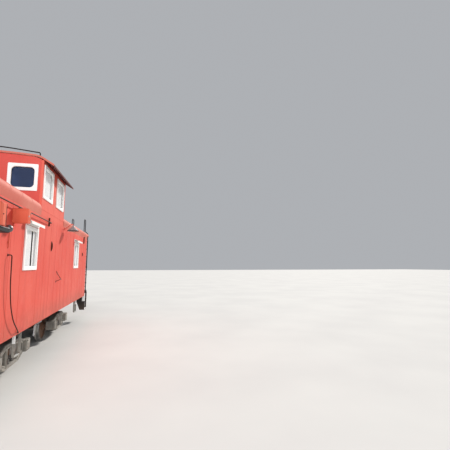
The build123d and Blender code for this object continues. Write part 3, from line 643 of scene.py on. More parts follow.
def piece(name, geo, mats, body="carbody", replaces=(), sharp=50.0, close=1e-6, weight=True):
    me = bpy.data.meshes.new(name)
    me.from_pydata(geo.v, [], geo.f)
    for m in mats:
        me.materials.append(PICK[m])
    me.polygons.foreach_set("material_index", geo.m)
    finish_mesh(me, sharp, close)
    ob = bpy.data.objects.new(name, me)
    bpy.context.scene.collection.objects.link(ob)
    if weight:
        w = ob.modifiers.new("face_weights", "WEIGHTED_NORMAL")
        w.keep_sharp = True
        w.weight = 80
    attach(ob, body)
    if replaces:
        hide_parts(*replaces)
    return ob


def refine(node, mats, pick=None, width=0.003, seg=2, sharp=32.0, cuts=()):
    """The node's own shape with broken edges and new materials, standing for the node; cuts are x where a face may change colour."""
    src = NODES[node]
    me = src.data.copy()
    me.name = node + "_finish"
    me.materials.clear()
    for m in mats:
        me.materials.append(PICK[m])
    bm = bmesh.new()
    bm.from_mesh(me)
    bmesh.ops.remove_doubles(bm, verts=bm.verts, dist=2e-5)
    bmesh.ops.dissolve_limit(bm, angle_limit=math.radians(0.8), verts=bm.verts, edges=bm.edges)
    for x in cuts:
        bmesh.ops.bisect_plane(bm, geom=bm.verts[:] + bm.edges[:] + bm.faces[:], dist=1e-5, plane_co=(x, 0, 0), plane_no=(1, 0, 0))
    bmesh.ops.recalc_face_normals(bm, faces=bm.faces)
    for f in bm.faces:
        f.smooth = True
        f.material_index = pick(f.calc_center_median(), f.normal) if pick else 0
    bm.to_mesh(me)
    bm.free()
    for a in ("custom_normal",):
        if me.attributes.get(a):
            me.attributes.remove(me.attributes[a])
    ob = bpy.data.objects.new(node + "_finish", me)
    bpy.context.scene.collection.objects.link(ob)
    if width:
        bv = ob.modifiers.new("edges", "BEVEL")
        bv.width = width
        bv.segments = seg
        bv.limit_method = "ANGLE"
        bv.angle_limit = math.radians(sharp)
        bv.use_clamp_overlap = True
        bv.harden_normals = True
    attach(ob, BODY_OF[node])
    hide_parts(node)
    return ob


# ================================================================== roof outlines
BIG = (ROOF_W - EAVE_R) / math.sin(EAVE_A) + EAVE_R
ROOF_C = EAVE_Z + (EAVE_R - BIG) * math.cos(EAVE_A)


def roof_line(out=0.0, n=18, m=8):
    """(y, z) from the right eave over the crown to the left eave, moved out by out."""
    right = []
    for k in range(m + 1):
        a = (math.pi / 2 - EAVE_A) * k / m
        right.append((-(ROOF_W - EAVE_R) - (EAVE_R + out) * math.cos(a), EAVE_Z + (EAVE_R + out) * math.sin(a)))
    for k in range(1, n + 1):
        a = EAVE_A * (1 - k / n)
        right.append((-(BIG + out) * math.sin(a), ROOF_C + (BIG + out) * math.cos(a)))
    return right + [(-y, z) for y, z in reversed(right[:-1])]


def roof_z(y, out=0.0):
    y = abs(y)
    if y < ROOF_W - EAVE_R + EAVE_R * math.sin(EAVE_A):
        return ROOF_C + math.sqrt((BIG + out) ** 2 - y * y)
    return EAVE_Z + math.sqrt(max(0.0, (EAVE_R + out) ** 2 - (y - ROOF_W + EAVE_R) ** 2))


def cup_line(out=0.0, n=14, m=6):
    a0 = math.asin(CUP_BEND_Y / CUP_CROWN_R)
    zc = CUP_CROWN_Z - CUP_CROWN_R
    cy, cz = (CUP_CROWN_R - CUP_BEND_R) * math.sin(a0), zc + (CUP_CROWN_R - CUP_BEND_R) * math.cos(a0)
    half = []
    for k in range(n + 1):
        a = a0 * k / n
        half.append(((CUP_CROWN_R + out) * math.sin(a), zc + (CUP_CROWN_R + out) * math.cos(a)))
    for k in range(1, m + 1):
        a = a0 + (CUP_SLOPE - a0) * k / m
        half.append((cy + (CUP_BEND_R + out) * math.sin(a), cz + (CUP_BEND_R + out) * math.cos(a)))
    y, z = half[-1]
    half.append((CUP_EAVE_Y, z - (CUP_EAVE_Y - y) * math.tan(CUP_SLOPE)))
    return [(-y, z) for y, z in reversed(half)] + half[1:]


def cup_z(y, out=0.0):
    a0 = math.asin(CUP_BEND_Y / CUP_CROWN_R)
    zc = CUP_CROWN_Z - CUP_CROWN_R
    y = abs(y)
    if y <= (CUP_CROWN_R + out) * math.sin(a0):
        return zc + math.sqrt((CUP_CROWN_R + out) ** 2 - y * y)
    cy, cz = (CUP_CROWN_R - CUP_BEND_R) * math.sin(a0), zc + (CUP_CROWN_R - CUP_BEND_R) * math.cos(a0)
    return cz + math.sqrt(max(0.0, (CUP_BEND_R + out) ** 2 - (y - cy) ** 2))


def strap(g, line_in, line_out, x0, x1, mat=0, b=0.0015):
    """Flat strip across the car that follows an outline."""
    loops = []
    for (y0, z0), (y1, z1) in zip(line_in, line_out):
        loops.append([(x0, y0, z0), (x0, y1, z1), (x1, y1, z1), (x1, y0, z0)])
    g.skin(loops, mat, None, cap0=True, cap1=True)


def face(o, n):
    """Local x along the wall, local y up, local z out of it."""
    n = Vector(n)
    return axes(Vector(o), Vector((0, 0, 1)).cross(n), Vector((0, 0, 1)), n)


def flat_bar(g, pts, thick, depth, n, mat=0, c=0.002):
    """Flat bar along points; depth lies along n, thick across it."""
    p, n = [Vector(q) for q in pts], Vector(n).normalized()
    a, b = thick / 2, depth / 2
    c = min(c, a * 0.6, b * 0.6)
    sec = [(a - c, b), (-a + c, b), (-a, b - c), (-a, -b + c), (-a + c, -b), (a - c, -b), (a, -b + c), (a, b - c)]
    loops = []
    for i in range(len(p)):
        t = (p[min(i + 1, len(p) - 1)] - p[max(i - 1, 0)]).normalized()
        w = t.cross(n).normalized()
        loops.append([p[i] + w * s + n * q for s, q in sec])
    g.skin(loops, mat, None, cap0=True, cap1=True)


def ring_plate(g, outer, inner, h, T, mat=0, b=0.002):
    """Raised border between two outlines of equal count, h high."""
    oi, ii = inset(outer, b), inset(inner, -b)
    loops = [[(x, y, -0.001) for x, y in outer], [(x, y, h - b) for x, y in outer], [(x, y, h) for x, y in oi],
             [(x, y, h) for x, y in ii], [(x, y, h - b) for x, y in inner], [(x, y, -0.001) for x, y in inner]]
    g.skin(loops, mat, T, closed=True)


SIDES = (("right", -1), ("left", 1))
ENDS = (("near", -1), ("far", 1))

# ================================================================== body shell
def side_pick(s, x0, x1, z0, z1):
    """Red outside, cream inside, white in the window openings."""
    def pick(c, n):
        if abs(n.y) < 0.3 and x0 < c.x < x1 and z0 < c.z < z1:
            return 2
        return 1 if n.y * s < -0.5 and abs(c.y) < HALF_W - WALL + 0.004 else 0
    return pick


def end_pick(e, xo, y0, y1, z0, z1):
    def pick(c, n):
        if abs(n.x) < 0.3 and y0 < abs(c.y) < y1 and z0 < c.z < z1:
            return 2
        return 1 if n.x * e < -0.5 and (c.x - xo) * e < -0.03 else 0
    return pick


for tag, s in SIDES:
    refine("wall_" + tag, ["red", "cream", "white"], side_pick(s, -4.5, 4.5, 1.5, 3.2), 0.0025)
    refine("cupola_side_" + tag, ["red", "cream", "white"], side_pick(s, CUP_X0 + 0.04, CUP_X1 - 0.04, 3.6, 4.44), 0.0025)
for tag, e in ENDS:
    refine("end_wall_" + tag, ["red_end", "cream", "white"], end_pick(e, e * BODY_X, 0.55, 1.30, 2.05, 3.05), 0.0025)
    xo = CUP_X0 if e < 0 else CUP_X1
    refine("cupola_end_" + tag, ["red_end", "cream", "white"], end_pick(e, xo, 0.70, 1.34, 3.80, 4.42), 0.0025)
    # roof undersides: cream over the cabin, painted-shade paint under the overhangs beyond it
    refine("roof_" + tag, ["red_roof", "cream", "underside_shade"],
           lambda c, n: 0 if n.z > 0.02 or abs(n.x) > 0.7 or abs(c.y) > ROOF_W - 0.004 else (1 if abs(c.x) < BODY_X else 2), 0.003, cuts=(e * (BODY_X - 0.002),))
refine("cupola_roof", ["red_roof", "cream", "underside_shade"],
       lambda c, n: 0 if n.z > 0.02 or abs(n.x) > 0.7 else (1 if abs(c.y) < HALF_W - WALL else 2), 0.003)
refine("cabin_floor", ["wood", "black"], lambda c, n: 0 if n.z > 0.5 else 1, 0.003)

# lapped sheet joints, eave bands and small fittings on the side sheets
SEAMS = [-4.42, -3.83, -3.26, -2.18, -1.72, -1.18, -0.62, -0.21, 0.19, 0.67, 1.24, 1.86, 3.02, 3.52, 4.05, 4.50]
for tag, s in SIDES:
    g = Geo()
    for x in SEAMS:
        g.box((x - 0.008, s * (HALF_W - 0.002), SILL_Z + 0.004), (x + 0.008, s * (HALF_W + 0.0028), EAVE_Z - 0.134), 0.0014)
    # bottom edge strip
    g.box((-BODY_X + 0.004, s * (HALF_W - 0.002), SILL_Z + 0.003), (BODY_X - 0.004, s * (HALF_W + 0.0032), SILL_Z + 0.058), 0.0015)
    for i in range(61):
        x = -4.80 + i * 0.16
        g.rivet((x, s * (HALF_W + 0.003), SILL_Z + 0.031), (0, s, 0), 0.0075)
    # corner strips at the body ends
    for e in (-1, 1):
        g.box((e * (BODY_X - 0.040), s * (HALF_W - 0.002), SILL_Z + 0.06), (e * (BODY_X - 0.001), s * (HALF_W + 0.003), EAVE_Z - 0.134), 0.0015)
    # cupola side: post strips between and beside the windows, base strip
    for x in (CUP_X0 + 0.030, -1.095, CUP_X1 - 0.030):
        g.box((x - 0.024, s * (HALF_W - 0.002), EAVE_Z + 0.055), (x + 0.024, s * (HALF_W + 0.003), CUP_SIDE_Z - 0.025), 0.0015)
    g.box((CUP_X0 + 0.004, s * (HALF_W - 0.002), EAVE_Z - 0.006), (CUP_X1 - 0.004, s * (HALF_W + 0.004), EAVE_Z + 0.052), 0.0018)
    piece("side_joints_" + tag, g, ["red"])
    g = Geo()
    for x0, x1 in ((-BODY_X, CUP_X0 + 0.012), (CUP_X1 - 0.012, BODY_X)):
        sec = [(HALF_W - 0.002, EAVE_Z - 0.150), (HALF_W + 0.0006, EAVE_Z - 0.150), (ROOF_W + 0.0010, EAVE_Z - 0.062), (ROOF_W + 0.0012, EAVE_Z + 0.002), (HALF_W - 0.002, EAVE_Z + 0.002)]
        g.skin([[(x, s * a, b) for a, b in sec] for x in (x0, x1)], 0, cap0=True, cap1=True)
        n = int((x1 - x0) / 0.12)
        for i in range(n + 1):
            g.rivet((x0 + 0.03 + (x1 - x0 - 0.06) * i / n, s * (ROOF_W + 0.001), EAVE_Z - 0.022), (0, s, 0), 0.0065)
    piece("eave_bands_" + tag, g, ["red_roof"])

# roof sheets: cross seams, cupola curb and drip edges
g = Geo()
inner, outer = roof_line(-0.002), roof_line(0.0035)
for x in (-4.62, -4.02, -3.42, -2.82, 0.72, 1.32, 1.92, 2.52, 3.12, 3.72, 4.32, 4.92):
    strap(g, inner, outer, x - 0.011, x + 0.011)
for x0, x1 in ((-ROOF_X - 0.004, -ROOF_X + 0.030), (ROOF_X - 0.030, ROOF_X + 0.004)):
    strap(g, roof_line(-0.030), roof_line(0.005), x0, x1)
piece("roof_joints", g, ["red_roof"], sharp=35)
g = Geo()
ys = [-1.395 + 2.79 * k / 40 for k in range(41)]
for x0, x1 in ((CUP_X0 - 0.008, CUP_X0 + 0.001), (CUP_X1 - 0.001, CUP_X1 + 0.008)):
    strap(g, [(y, roof_z(y) - 0.01) for y in ys], [(y, roof_z(y) + 0.048) for y in ys], x0, x1)
for x0, x1 in ((CUP_X0 - 0.055, CUP_X0 - 0.001), (CUP_X1 + 0.001, CUP_X1 + 0.055)):
    strap(g, [(y, roof_z(y) - 0.003) for y in ys], [(y, roof_z(y) + 0.005) for y in ys], x0, x1)
for x, e in ((CUP_X0 - 0.0075, -1), (CUP_X1 + 0.0075, 1)):
    for k in range(22):
        y = -1.34 + 2.68 * k / 21
        g.rivet((x, y, roof_z(y) + 0.024), (e, 0, 0), 0.0065)
# upright joints on the cupola ends
for x, e in ((CUP_X0, -1), (CUP_X1, 1)):
    for y in (-0.52, 0.0, 0.52):
        g.box((x + e * -0.002, y - 0.010, roof_z(y) + 0.045), (x + e * 0.003, y + 0.010, cup_z(y) - 0.045), 0.0014)
piece("cupola_curb", g, ["red_end"], sharp=35)
g = Geo()
inner, outer = cup_line(-0.002), cup_line(0.0035)
for x in (-1.61, -1.035, -0.46):
    strap(g, inner, outer, x - 0.010, x + 0.010)
for x0, x1 in ((CUP_X0 - CUP_OVER - 0.003, CUP_X0 - CUP_OVER + 0.022), (CUP_X1 + CUP_OVER - 0.022, CUP_X1 + CUP_OVER + 0.003)):
    strap(g, cup_line(-CUP_ROOF_T + 0.004), cup_line(0.004), x0, x1)
piece("cupola_roof_joints", g, ["red_roof"], sharp=35)

# ================================================================== windows
def frame_ring(g, T, w, h, ri, ro, seal=1):
    """White frame with rounded inner corners and a seal at the glass, black rubber or painted over."""
    def loop(dw, r, d):
        return [(x, y, d) for x, y in rrect(w - 2 * dw, h - 2 * dw, max(r, 0.0015), 6)]
    o, f = FRAME_OUT, FRAME_W
    g.skin([loop(0, ro, -0.0005), loop(0, ro, o - 0.007), loop(0.002, ro, o - 0.002), loop(0.007, ro, o),
            loop(f - 0.020, ri + 0.016, o), loop(f - 0.008, ri + 0.007, o - 0.003), loop(f, ri, o - 0.011),
            loop(f, ri, -0.0128), loop(GAP, 0.002, -0.0128), loop(GAP, 0.002, -0.0005)], 0, T, closed=True)
    g.skin([loop(f - 0.001, ri, -0.0135), loop(f + 0.008, ri - 0.006, -0.0135), loop(f + 0.007, ri - 0.006, -0.007),
            loop(f - 0.001, ri, -0.003)], seal, T, closed=True)
    # flat screw heads
    for k in range(2):
        for sx in (-1, 1):
            for t in (-0.36, 0.0, 0.36):
                p = (sx * (w / 2 - f / 2), t * h) if k else (t * w, sx * (h / 2 - f / 2))
                g.lathe([(0.0062, o - 0.0005), (0.0058, o + 0.0012), (0.0035, o + 0.0018), (0, o + 0.0018)], T @ Matrix.Translation((p[0], p[1], 0)), 10, 0)


def pane(g, T, w, h, mat=0):
    g.box((-w / 2 + GAP + 0.0005, -h / 2 + GAP + 0.0005, -0.0219), (w / 2 - GAP - 0.0005, h / 2 - GAP - 0.0005, -0.0141), 0.0008, mat, T)


g, gg = Geo(), Geo()
for tag, s in SIDES:
    for cx, cz, w, h in SIDE_WINDOWS:
        T = face((cx, s * HALF_W, cz), (0, s, 0))
        frame_ring(g, T, w, h, 0.010, 0.006, 0)
        pane(gg, T, w, h)
for tag, e in ENDS:
    for cy, cz, w, h in END_WINDOWS:
        T = face((e * BODY_X, cy, cz), (e, 0, 0))
        frame_ring(g, T, w, h, 0.045, 0.012)
        pane(gg, T, w, h)
piece("cabin_frames", g, ["white", "rubber"], replaces=("cabin_window_frames",), sharp=40)
piece("cabin_panes", gg, ["glass"], replaces=("cabin_window_glass",), sharp=40)
g, gg = Geo(), Geo()
for tag, s in SIDES:
    for cx, cz, w, h in CUP_SIDE_WINDOWS:
        T = face((cx, s * HALF_W, cz), (0, s, 0))
        frame_ring(g, T, w, h, 0.100, 0.020, 0)
        pane(gg, T, w, h, 1)
for x, e in ((CUP_X0, -1), (CUP_X1, 1)):
    for cy, cz, w, h in CUP_END_WINDOWS:
        T = face((x, cy, cz), (e, 0, 0))
        frame_ring(g, T, w, h, 0.085, 0.020)
        pane(gg, T, w, h, 0)
piece("cupola_frames", g, ["white", "rubber"], replaces=("cupola_window_frames",), sharp=40)
piece("cupola_panes", gg, ["glass_dark", "glass"], replaces=("cupola_window_glass",), sharp=40)
refine("window_hoods", ["white"], None, 0.0012, 2)

# ------------------------------------------------------------------ curtains
def curtain(name, s, x0, x1, z0, z1, pitch=0.052, amp=0.0042):
    """A pleated curtain on a rod, 12 mm deep, hanging in the wall opening just behind the glass."""
    rnd = random.Random(name)
    y_mid, nx, nz = HALF_W - 0.031, 0, 22
    w = x1 - x0
    n = max(3, round(w / pitch))
    nx = n * 12
    shift = [rnd.uniform(-0.35, 0.35) for _ in range(n + 1)]
    size = [rnd.uniform(0.72, 1.0) for _ in range(n + 1)]
    lean = [rnd.uniform(-0.006, 0.006) for _ in range(n + 1)]
    P, F = [], []
    def soft(v, t):
        i = min(int(t * n), n - 1)
        f = t * n - i
        f = f * f * (3 - 2 * f)
        return v[i] * (1 - f) + v[i + 1] * f
    for j in range(nz + 1):
        q = j / nz
        z = z1 - (z1 - z0) * q
        for i in range(nx + 1):
            t = i / nx
            a = amp * soft(size, t) * (0.75 + 0.25 * q)
            ph = 2 * math.pi * (t * n) + soft(shift, t) * (0.3 + q)
            x = x0 + w * t + soft(lean, t) * q * math.sin(math.pi * t)
            y = s * (y_mid + a * math.sin(ph) + 0.0006 * math.sin(9 * q + 5 * t))
            sag = 0.004 * math.sin(math.pi * t) * q if 0 < q else 0.0
            P.append((x, y, z + (0.002 * math.cos(ph) * (1 if j == nz else 0)) + sag * 0.2))
    for j in range(nz):
        for i in range(nx):
            a = j * (nx + 1) + i
            F.append((a, a + 1, a + nx + 2, a + nx + 1))
    g = Geo()
    g.add(P, F, 0)
    ob = piece(name, g, ["cloth"], replaces=("window_blinds",), sharp=80, weight=False)
    return ob


rods = Geo()
IN = GAP + 0.002


def rod_set(s, cx, w, z):
    """Rod across a wall opening, with a small cup at each end."""
    y = s * (HALF_W - 0.0435)
    rods.cyl((cx - w / 2 + GAP - 0.001, y, z), (cx + w / 2 - GAP + 0.001, y, z), 0.0055, 12, 0.001)
    for k in (-1, 1):
        x = cx + k * (w / 2 - GAP)
        rods.lathe([(0.0125, -0.001), (0.0125, 0.004), (0.0075, 0.009), (0.0056, 0.009)], at((x, y, z), (-k, 0, 0)), 16)


for tag, s in SIDES:
    for k, (cx, cz, w, h) in enumerate(SIDE_WINDOWS):
        z0, z1 = cz - h / 2 + IN, cz + h / 2 - IN - 0.002
        mid = cx + (BLIND_SHIFT if k == 0 else 0)
        curtain("curtain_%s_%d_a" % (tag, k), s, cx - w / 2 + IN + 0.001, mid - BLIND_GAP / 2, z0, z1)
        curtain("curtain_%s_%d_b" % (tag, k), s, mid + BLIND_GAP / 2, cx + w / 2 - IN - 0.001, z0, z1)
        rod_set(s, cx, w, z1 - 0.010)
    for k, (cx, cz, w, h) in enumerate(CUP_SIDE_WINDOWS):
        z0, z1 = cz - h / 2 + IN, cz + h / 2 - IN - 0.002
        curtain("cupola_curtain_%s_%d" % (tag, k), s, cx - w / 2 + IN + 0.001, cx + w / 2 - IN - 0.001, z0, z1)
        rod_set(s, cx, w, z1 - 0.010)
piece("curtain_rods", rods, ["brass"])

# ================================================================== irons
def iron_foot(g, p, n, r, mat=0):
    g.lathe([(r * 2.4, -0.0005), (r * 2.4, 0.004), (r * 2.1, 0.0065), (r * 1.4, 0.0085), (r * 1.12, 0.016), (r * 1.0, 0.020)], at(p, n), 22, mat)


for tag, s in SIDES:
    g = Geo()
    yo, yw = s * (HALF_W + 0.062), s * HALF_W
    m = 1 if s < 0 else -1
    for a, b, z in STRAIGHT:
        a, b = m * a, m * b
        g.tube(rounded([(a, yw, z), (a, yo, z), (b, yo, z), (b, yw, z)], 0.028, 8), 0.011, 14)
        for x in (a, b):
            iron_foot(g, (x, yw, z), (0, s, 0), 0.011)
    pts = [(m * x, z) for x, z in CORNER]
    foot, last = Vector((m * CORNER_FOOT[0], yw, CORNER_FOOT[1])), Vector((pts[-1][0], yo, pts[-1][1]))
    route = [(pts[0][0], yw, pts[0][1])] + [(x, yo, z) for x, z in pts] + [foot + (foot - last).normalized() * 0.040]
    g.tube(rounded(route, [0.028, 1.2, 0.7, 0.7, 0.040], 8), 0.009, 14)
    for x, z in (pts[0], (m * CORNER_FOOT[0], CORNER_FOOT[1])):
        iron_foot(g, (x, yw, z), (0, s, 0), 0.009)
    # flat bracket at the inner end of the long iron
    xb = m * -1.478
    g.box((xb - 0.005, s * (HALF_W - 0.001), 3.135), (xb + 0.005, s * (HALF_W + 0.030), 3.335), 0.0015)
    for z in (3.150, 3.320):
        g.box((xb - m * 0.030, s * (HALF_W - 0.001), z - 0.014), (xb + m * 0.006, s * (HALF_W + 0.004), z + 0.014), 0.001)
        g.bolt((xb - m * 0.018, s * (HALF_W + 0.004), z), (0, s, 0), 0.005, 0.004, washer=False)
    piece("hand_irons_" + tag, g, ["iron"], replaces=("grab_irons_" + tag,))

g = Geo()
a0 = math.asin(CUP_BEND_Y / CUP_CROWN_R)
cyc, czc = (CUP_CROWN_R - CUP_BEND_R) * math.sin(a0), CUP_CROWN_Z - CUP_CROWN_R + (CUP_CROWN_R - CUP_BEND_R) * math.cos(a0)
foot_z = czc + math.sqrt(CUP_BEND_R ** 2 - (HANDRAIL[0][0] - cyc) ** 2)
for x in (CUP_X0 + 0.015, CUP_X1 - 0.015):
    half = [(x, a, b) for a, b in HANDRAIL]
    other = [(x, -a, b) for a, b in reversed(HANDRAIL[:2])]
    g.tube(rounded([(x, HANDRAIL[0][0], foot_z + 0.003)] + half + other + [(x, -HANDRAIL[0][0], foot_z + 0.003)], [0.030, 5.0, 6.0, 5.0, 0.030], 8), 0.013, 14)
    for y in (-0.480, 0.480):
        z = cup_z(y)
        g.cyl((x, y, z - 0.001), (x, y, 4.750), 0.009, 14, 0.001)
        g.lathe([(0.026, -0.002), (0.026, 0.004), (0.020, 0.007), (0.011, 0.010), (0.0095, 0.018)], at((x, y, z)), 18)
    for s in (-1, 1):
        g.lathe([(0.026, -0.006), (0.026, 0.002), (0.021, 0.006), (0.015, 0.010), (0.0132, 0.018)], at((x, s * HANDRAIL[0][0], foot_z), (0, s * 0.22, 1)), 18)
piece("roof_handrails", g, ["black"], replaces=("cupola_handrails",))

g = Geo()
for tag, s in SIDES:
    for x in (-3.0, 3.0):
        y = s * 1.402
        flat_bar(g, rounded([(x - 0.164, y, 1.000), (x - 0.164, y, 0.606), (x + 0.164, y, 0.606), (x + 0.164, y, 1.000)], 0.030, 7), 0.0115, 0.048, (0, 1, 0), 1)
        for k in (-1, 1):
            xx = x + k * 0.164
            g.box((xx - 0.006 * 1, y - 0.0245, 0.990), (xx - k * 0.085, y + 0.0245, 1.003), 0.002)
            g.bolt((xx - k * 0.060, y, 0.990), (0, 0, -1), 0.011, 0.008)
            # upper part of the outer leg white, the rest of the step dusty grey: partly white safety paint, partly
            # painted light, with white for the lit part and grey for the shaded part
            g.box((xx - 0.0068, y - 0.0250, 0.845), (xx + 0.0068, y + 0.0250, 1.000), 0.002, 0 if k * x > 0 else 1)
            for z in (0.870, 0.920):
                g.bolt((xx + k * 0.0066, y, z), (k, 0, 0), 0.008, 0.005, washer=False)
        for k in range(7):
            g.box((x - 0.115 + k * 0.036, y - 0.024, 0.6115), (x - 0.100 + k * 0.036, y + 0.024, 0.6145), 0.001)
piece("hanging_steps", g, ["white", "cast"], replaces=("stirrup_steps",))

# ================================================================== wall fittings
g = Geo()
for tag, s in SIDES:
    y, x, z = s * (HALF_W + 0.225), LAMP_X, LAMP_Z
    g.tube(rounded([(x, s * (HALF_W + 0.004), z + 0.080), (x, s * (HALF_W + 0.045), z + 0.080), (x, s * (HALF_W + 0.165), z + 0.195), (x, y, z + 0.195), (x, y, z + 0.145)], [0.030, 0.034, 0.034], 9), 0.0105, 16, 5)
    g.lathe([(0.048, -0.001), (0.048, 0.006), (0.044, 0.010), (0.030, 0.012), (0.016, 0.020), (0.0125, 0.034), (0.0112, 0.036)], at((x, s * HALF_W, z + 0.080), (0, s, 0)), 28, 5)
    for k in range(3):
        a = math.radians(30 + 120 * k)
        g.bolt((x + 0.036 * math.cos(a), s * (HALF_W + 0.010), z + 0.080 + 0.036 * math.sin(a)), (0, s, 0), 0.0045, 0.004, 5, washer=False)
    T = at((x, y, z))
    g.lathe([(0.0115, 0.180), (0.0150, 0.178), (0.0195, 0.166), (0.0220, 0.165), (0.0235, 0.160), (0.0255, 0.148), (0.0290, 0.139), (0.0340, 0.131),
             (0.0760, 0.0895), (0.1180, 0.0480), (0.1450, 0.0215)], T, 56, 0)
    g.lathe([(0.1450, 0.0215), (0.1530, 0.0135), (0.1576, 0.0090), (0.1580, 0.0020), (0.1560, 0.0000), (0.1530, 0.0010)], T, 56, 4)
    g.lathe([(0.1530, 0.0010), (0.1520, 0.0060), (0.1340, 0.0235), (0.0780, 0.0790), (0.0320, 0.1220), (0.0200, 0.1250), (0.0, 0.1250)], T, 56, 1)
    g.lathe([(0.0, 0.125), (0.019, 0.1245), (0.019, 0.090), (0.0175, 0.088)], T, 24, 3)
    g.lathe([(0.0175, 0.088), (0.022, 0.078), (0.027, 0.064), (0.025, 0.050), (0.016, 0.0415), (0.0, 0.039)], T, 24, 2)
piece("goose_neck_lamps", g, ["enamel", "lamp_in", "bulb", "zinc", "black", "red"], replaces=("wall_lamps",), sharp=38)

refine("wall_cabinets", ["cabinet"], None, 0.004, 3)
g = Geo()
# service box: lid seam, hinge side and a hasp; conduit under it
W = HALF_W
for x0, x1 in ((-3.853, -3.8495), (-3.7105, -3.707)):
    e = -1 if x0 < -3.8 else 1
    T = face((-3.85 if e < 0 else -3.71, -W - 0.120, 3.050), (e, 0, 0))
    ring_plate(g, rrect(0.222, 0.222, 0.008, 3), rrect(0.186, 0.186, 0.005, 3), 0.003, T, 0)
g.box((-3.856, -W - 0.2425, 3.166), (-3.704, -W, 3.1735), 0.002, 0)
T = face((-3.78, -W - 0.240, 3.045), (0, -1, 0))
ring_plate(g, rrect(0.128, 0.205, 0.006, 3), rrect(0.100, 0.177, 0.004, 3), 0.0025, T, 0)
g.cyl((-3.735, -W - 0.246, 2.985), (-3.735, -W - 0.246, 3.015), 0.004, 10, 0.0005, 2)
g.cyl((-3.735, -W - 0.246, 3.085), (-3.735, -W - 0.246, 3.115), 0.004, 10, 0.0005, 2)
g.box((-3.838, -W - 0.243, 3.030), (-3.816, -W - 0.2475, 3.058), 0.001, 2)
# corner cabinet: door joint, hinge line and two hinges
T = face((-4.715, -W - 0.180, 2.950), (0, -1, 0))
g.box((-0.062, -0.148, -0.001), (0.058, 0.148, 0.004), 0.002, 0, T)
g.box((0.0600, -0.150, -0.001), (0.0800, 0.150, 0.0035), 0.0008, 1, T)
for z in (-0.095, 0.095):
    g.cyl(T @ Vector((0.062, z - 0.020, 0.004)), T @ Vector((0.062, z + 0.020, 0.004)), 0.0045, 10, 0.0006, 1)
g.cyl(T @ Vector((-0.042, 0.0, 0.003)), T @ Vector((-0.042, 0.0, 0.010)), 0.010, 18, 0.002, 1)
g.box((-4.822, -W - 0.176, 3.1085), (-4.598, -W, 3.114), 0.002, 0)
# conduit beside the boxes
cy = -W - 0.0125
g.tube(rounded([(-3.780, cy, 2.934), (-3.780, cy, 2.868), (-3.950, cy, 2.868), (-3.950, cy, 2.520), (-3.950, -W + 0.004, 2.500)], [0.030, 0.030, 0.012], 6), 0.0065, 12, 0)
for z in (2.800, 2.600):
    g.box((-3.966, -W - 0.021, z - 0.008), (-3.934, -W, z + 0.008), 0.002, 0)
piece("cabinet_fittings", g, ["cabinet", "black", "zinc"])

g = Geo()
# lamp bar: housing, bright top lip, lens below, arm and ball joint
g.box((-4.800, -W - 0.150, 2.712), (-4.370, -W, 2.772), 0.008, 0)
g.box((-4.804, -W - 0.150, 2.770), (-4.366, -W, 2.777), 0.002, 0)
g.box((-4.804, -W - 0.153, 2.774), (-4.366, -W - 0.120, 2.782), 0.002, 1)
g.box((-4.770, -W - 0.132, 2.7085), (-4.400, -W - 0.030, 2.714), 0.002, 4)
g.cyl((-4.374, -W - 0.100, 2.7585), (-4.346, -W - 0.100, 2.769), 0.026, 24, 0.003, 0)
g.cyl((-4.350, -W - 0.100, 2.7640), (-4.300, -W - 0.100, 2.778), 0.018, 24, 0.002, 0)
g.ball((-4.264, -W - 0.100, 2.788), 0.0590, 2, 48, 30)
T = at((-4.264, -W - 0.100, 2.788), (0.0, 0.0, 1.0))
g.lathe([(0.0590, -0.0035), (0.0598, -0.0025), (0.0598, 0.0025), (0.0590, 0.0035)], T, 48, 4)
piece("lamp_bar", g, ["black", "zinc", "ball", "enamel", "rubber"], replaces=("corner_lamp",), sharp=38)

g = Geo()
# latch plates, flag bracket and an upright strap on the side sheet
for x, z0, z1, d in ((-1.100, 2.565, 2.815, 0.036), (3.760, 2.570, 2.725, 0.030)):
    h = z1 - z0
    poly = [(0.0, z0), (d * 0.55, z0 + h * 0.10), (d * 0.92, z0 + h * 0.28), (d, z0 + h * 0.50), (d * 0.92, z0 + h * 0.72), (d * 0.55, z0 + h * 0.90), (0.0, z1)]
    g.skin([[(x + q, -W + 0.001 - a, c) for a, c in poly] for q in (-0.006, 0.006)], 0, cap0=True, cap1=True)
    g.box((x - 0.016, -W + 0.001, z0 + 0.012), (x + 0.016, -W - 0.004, z1 - 0.012), 0.001, 0)
g.box((3.950, -W + 0.001, 3.075), (3.962, -W - 0.036, 3.335), 0.0015, 0)
for z in (3.095, 3.315):
    g.box((3.930, -W + 0.001, z - 0.014), (3.962, -W - 0.004, z + 0.014), 0.001, 0)
    g.bolt((3.941, -W - 0.004, z), (0, -1, 0), 0.005, 0.004, 0, washer=False)
tip = (-0.300, -W - 0.100, 1.868)
for q, r, mt in (((-0.380, -W + 0.002, 2.065), 0.0075, 0), ((-0.420, -W + 0.002, 1.812), 0.0075, 0)):
    g.tube([q, tip], r, 12, mt)
    g.lathe([(0.022, -0.0005), (0.022, 0.004), (0.017, 0.006), (0.0085, 0.008)], at((q[0], -W, q[2]), (0, -1, 0)), 20, 0)
g.ball(tip, 0.012, 0, 18, 10)
g.lathe([(0.010, -0.004), (0.0185, -0.003), (0.0185, 0.003), (0.010, 0.004)], at((tip[0], tip[1] + 0.006, tip[2]), (0.2, -0.9, 0)), 22, 2)
piece("side_fittings", g, ["iron", "rubber", "zinc"], sharp=40)

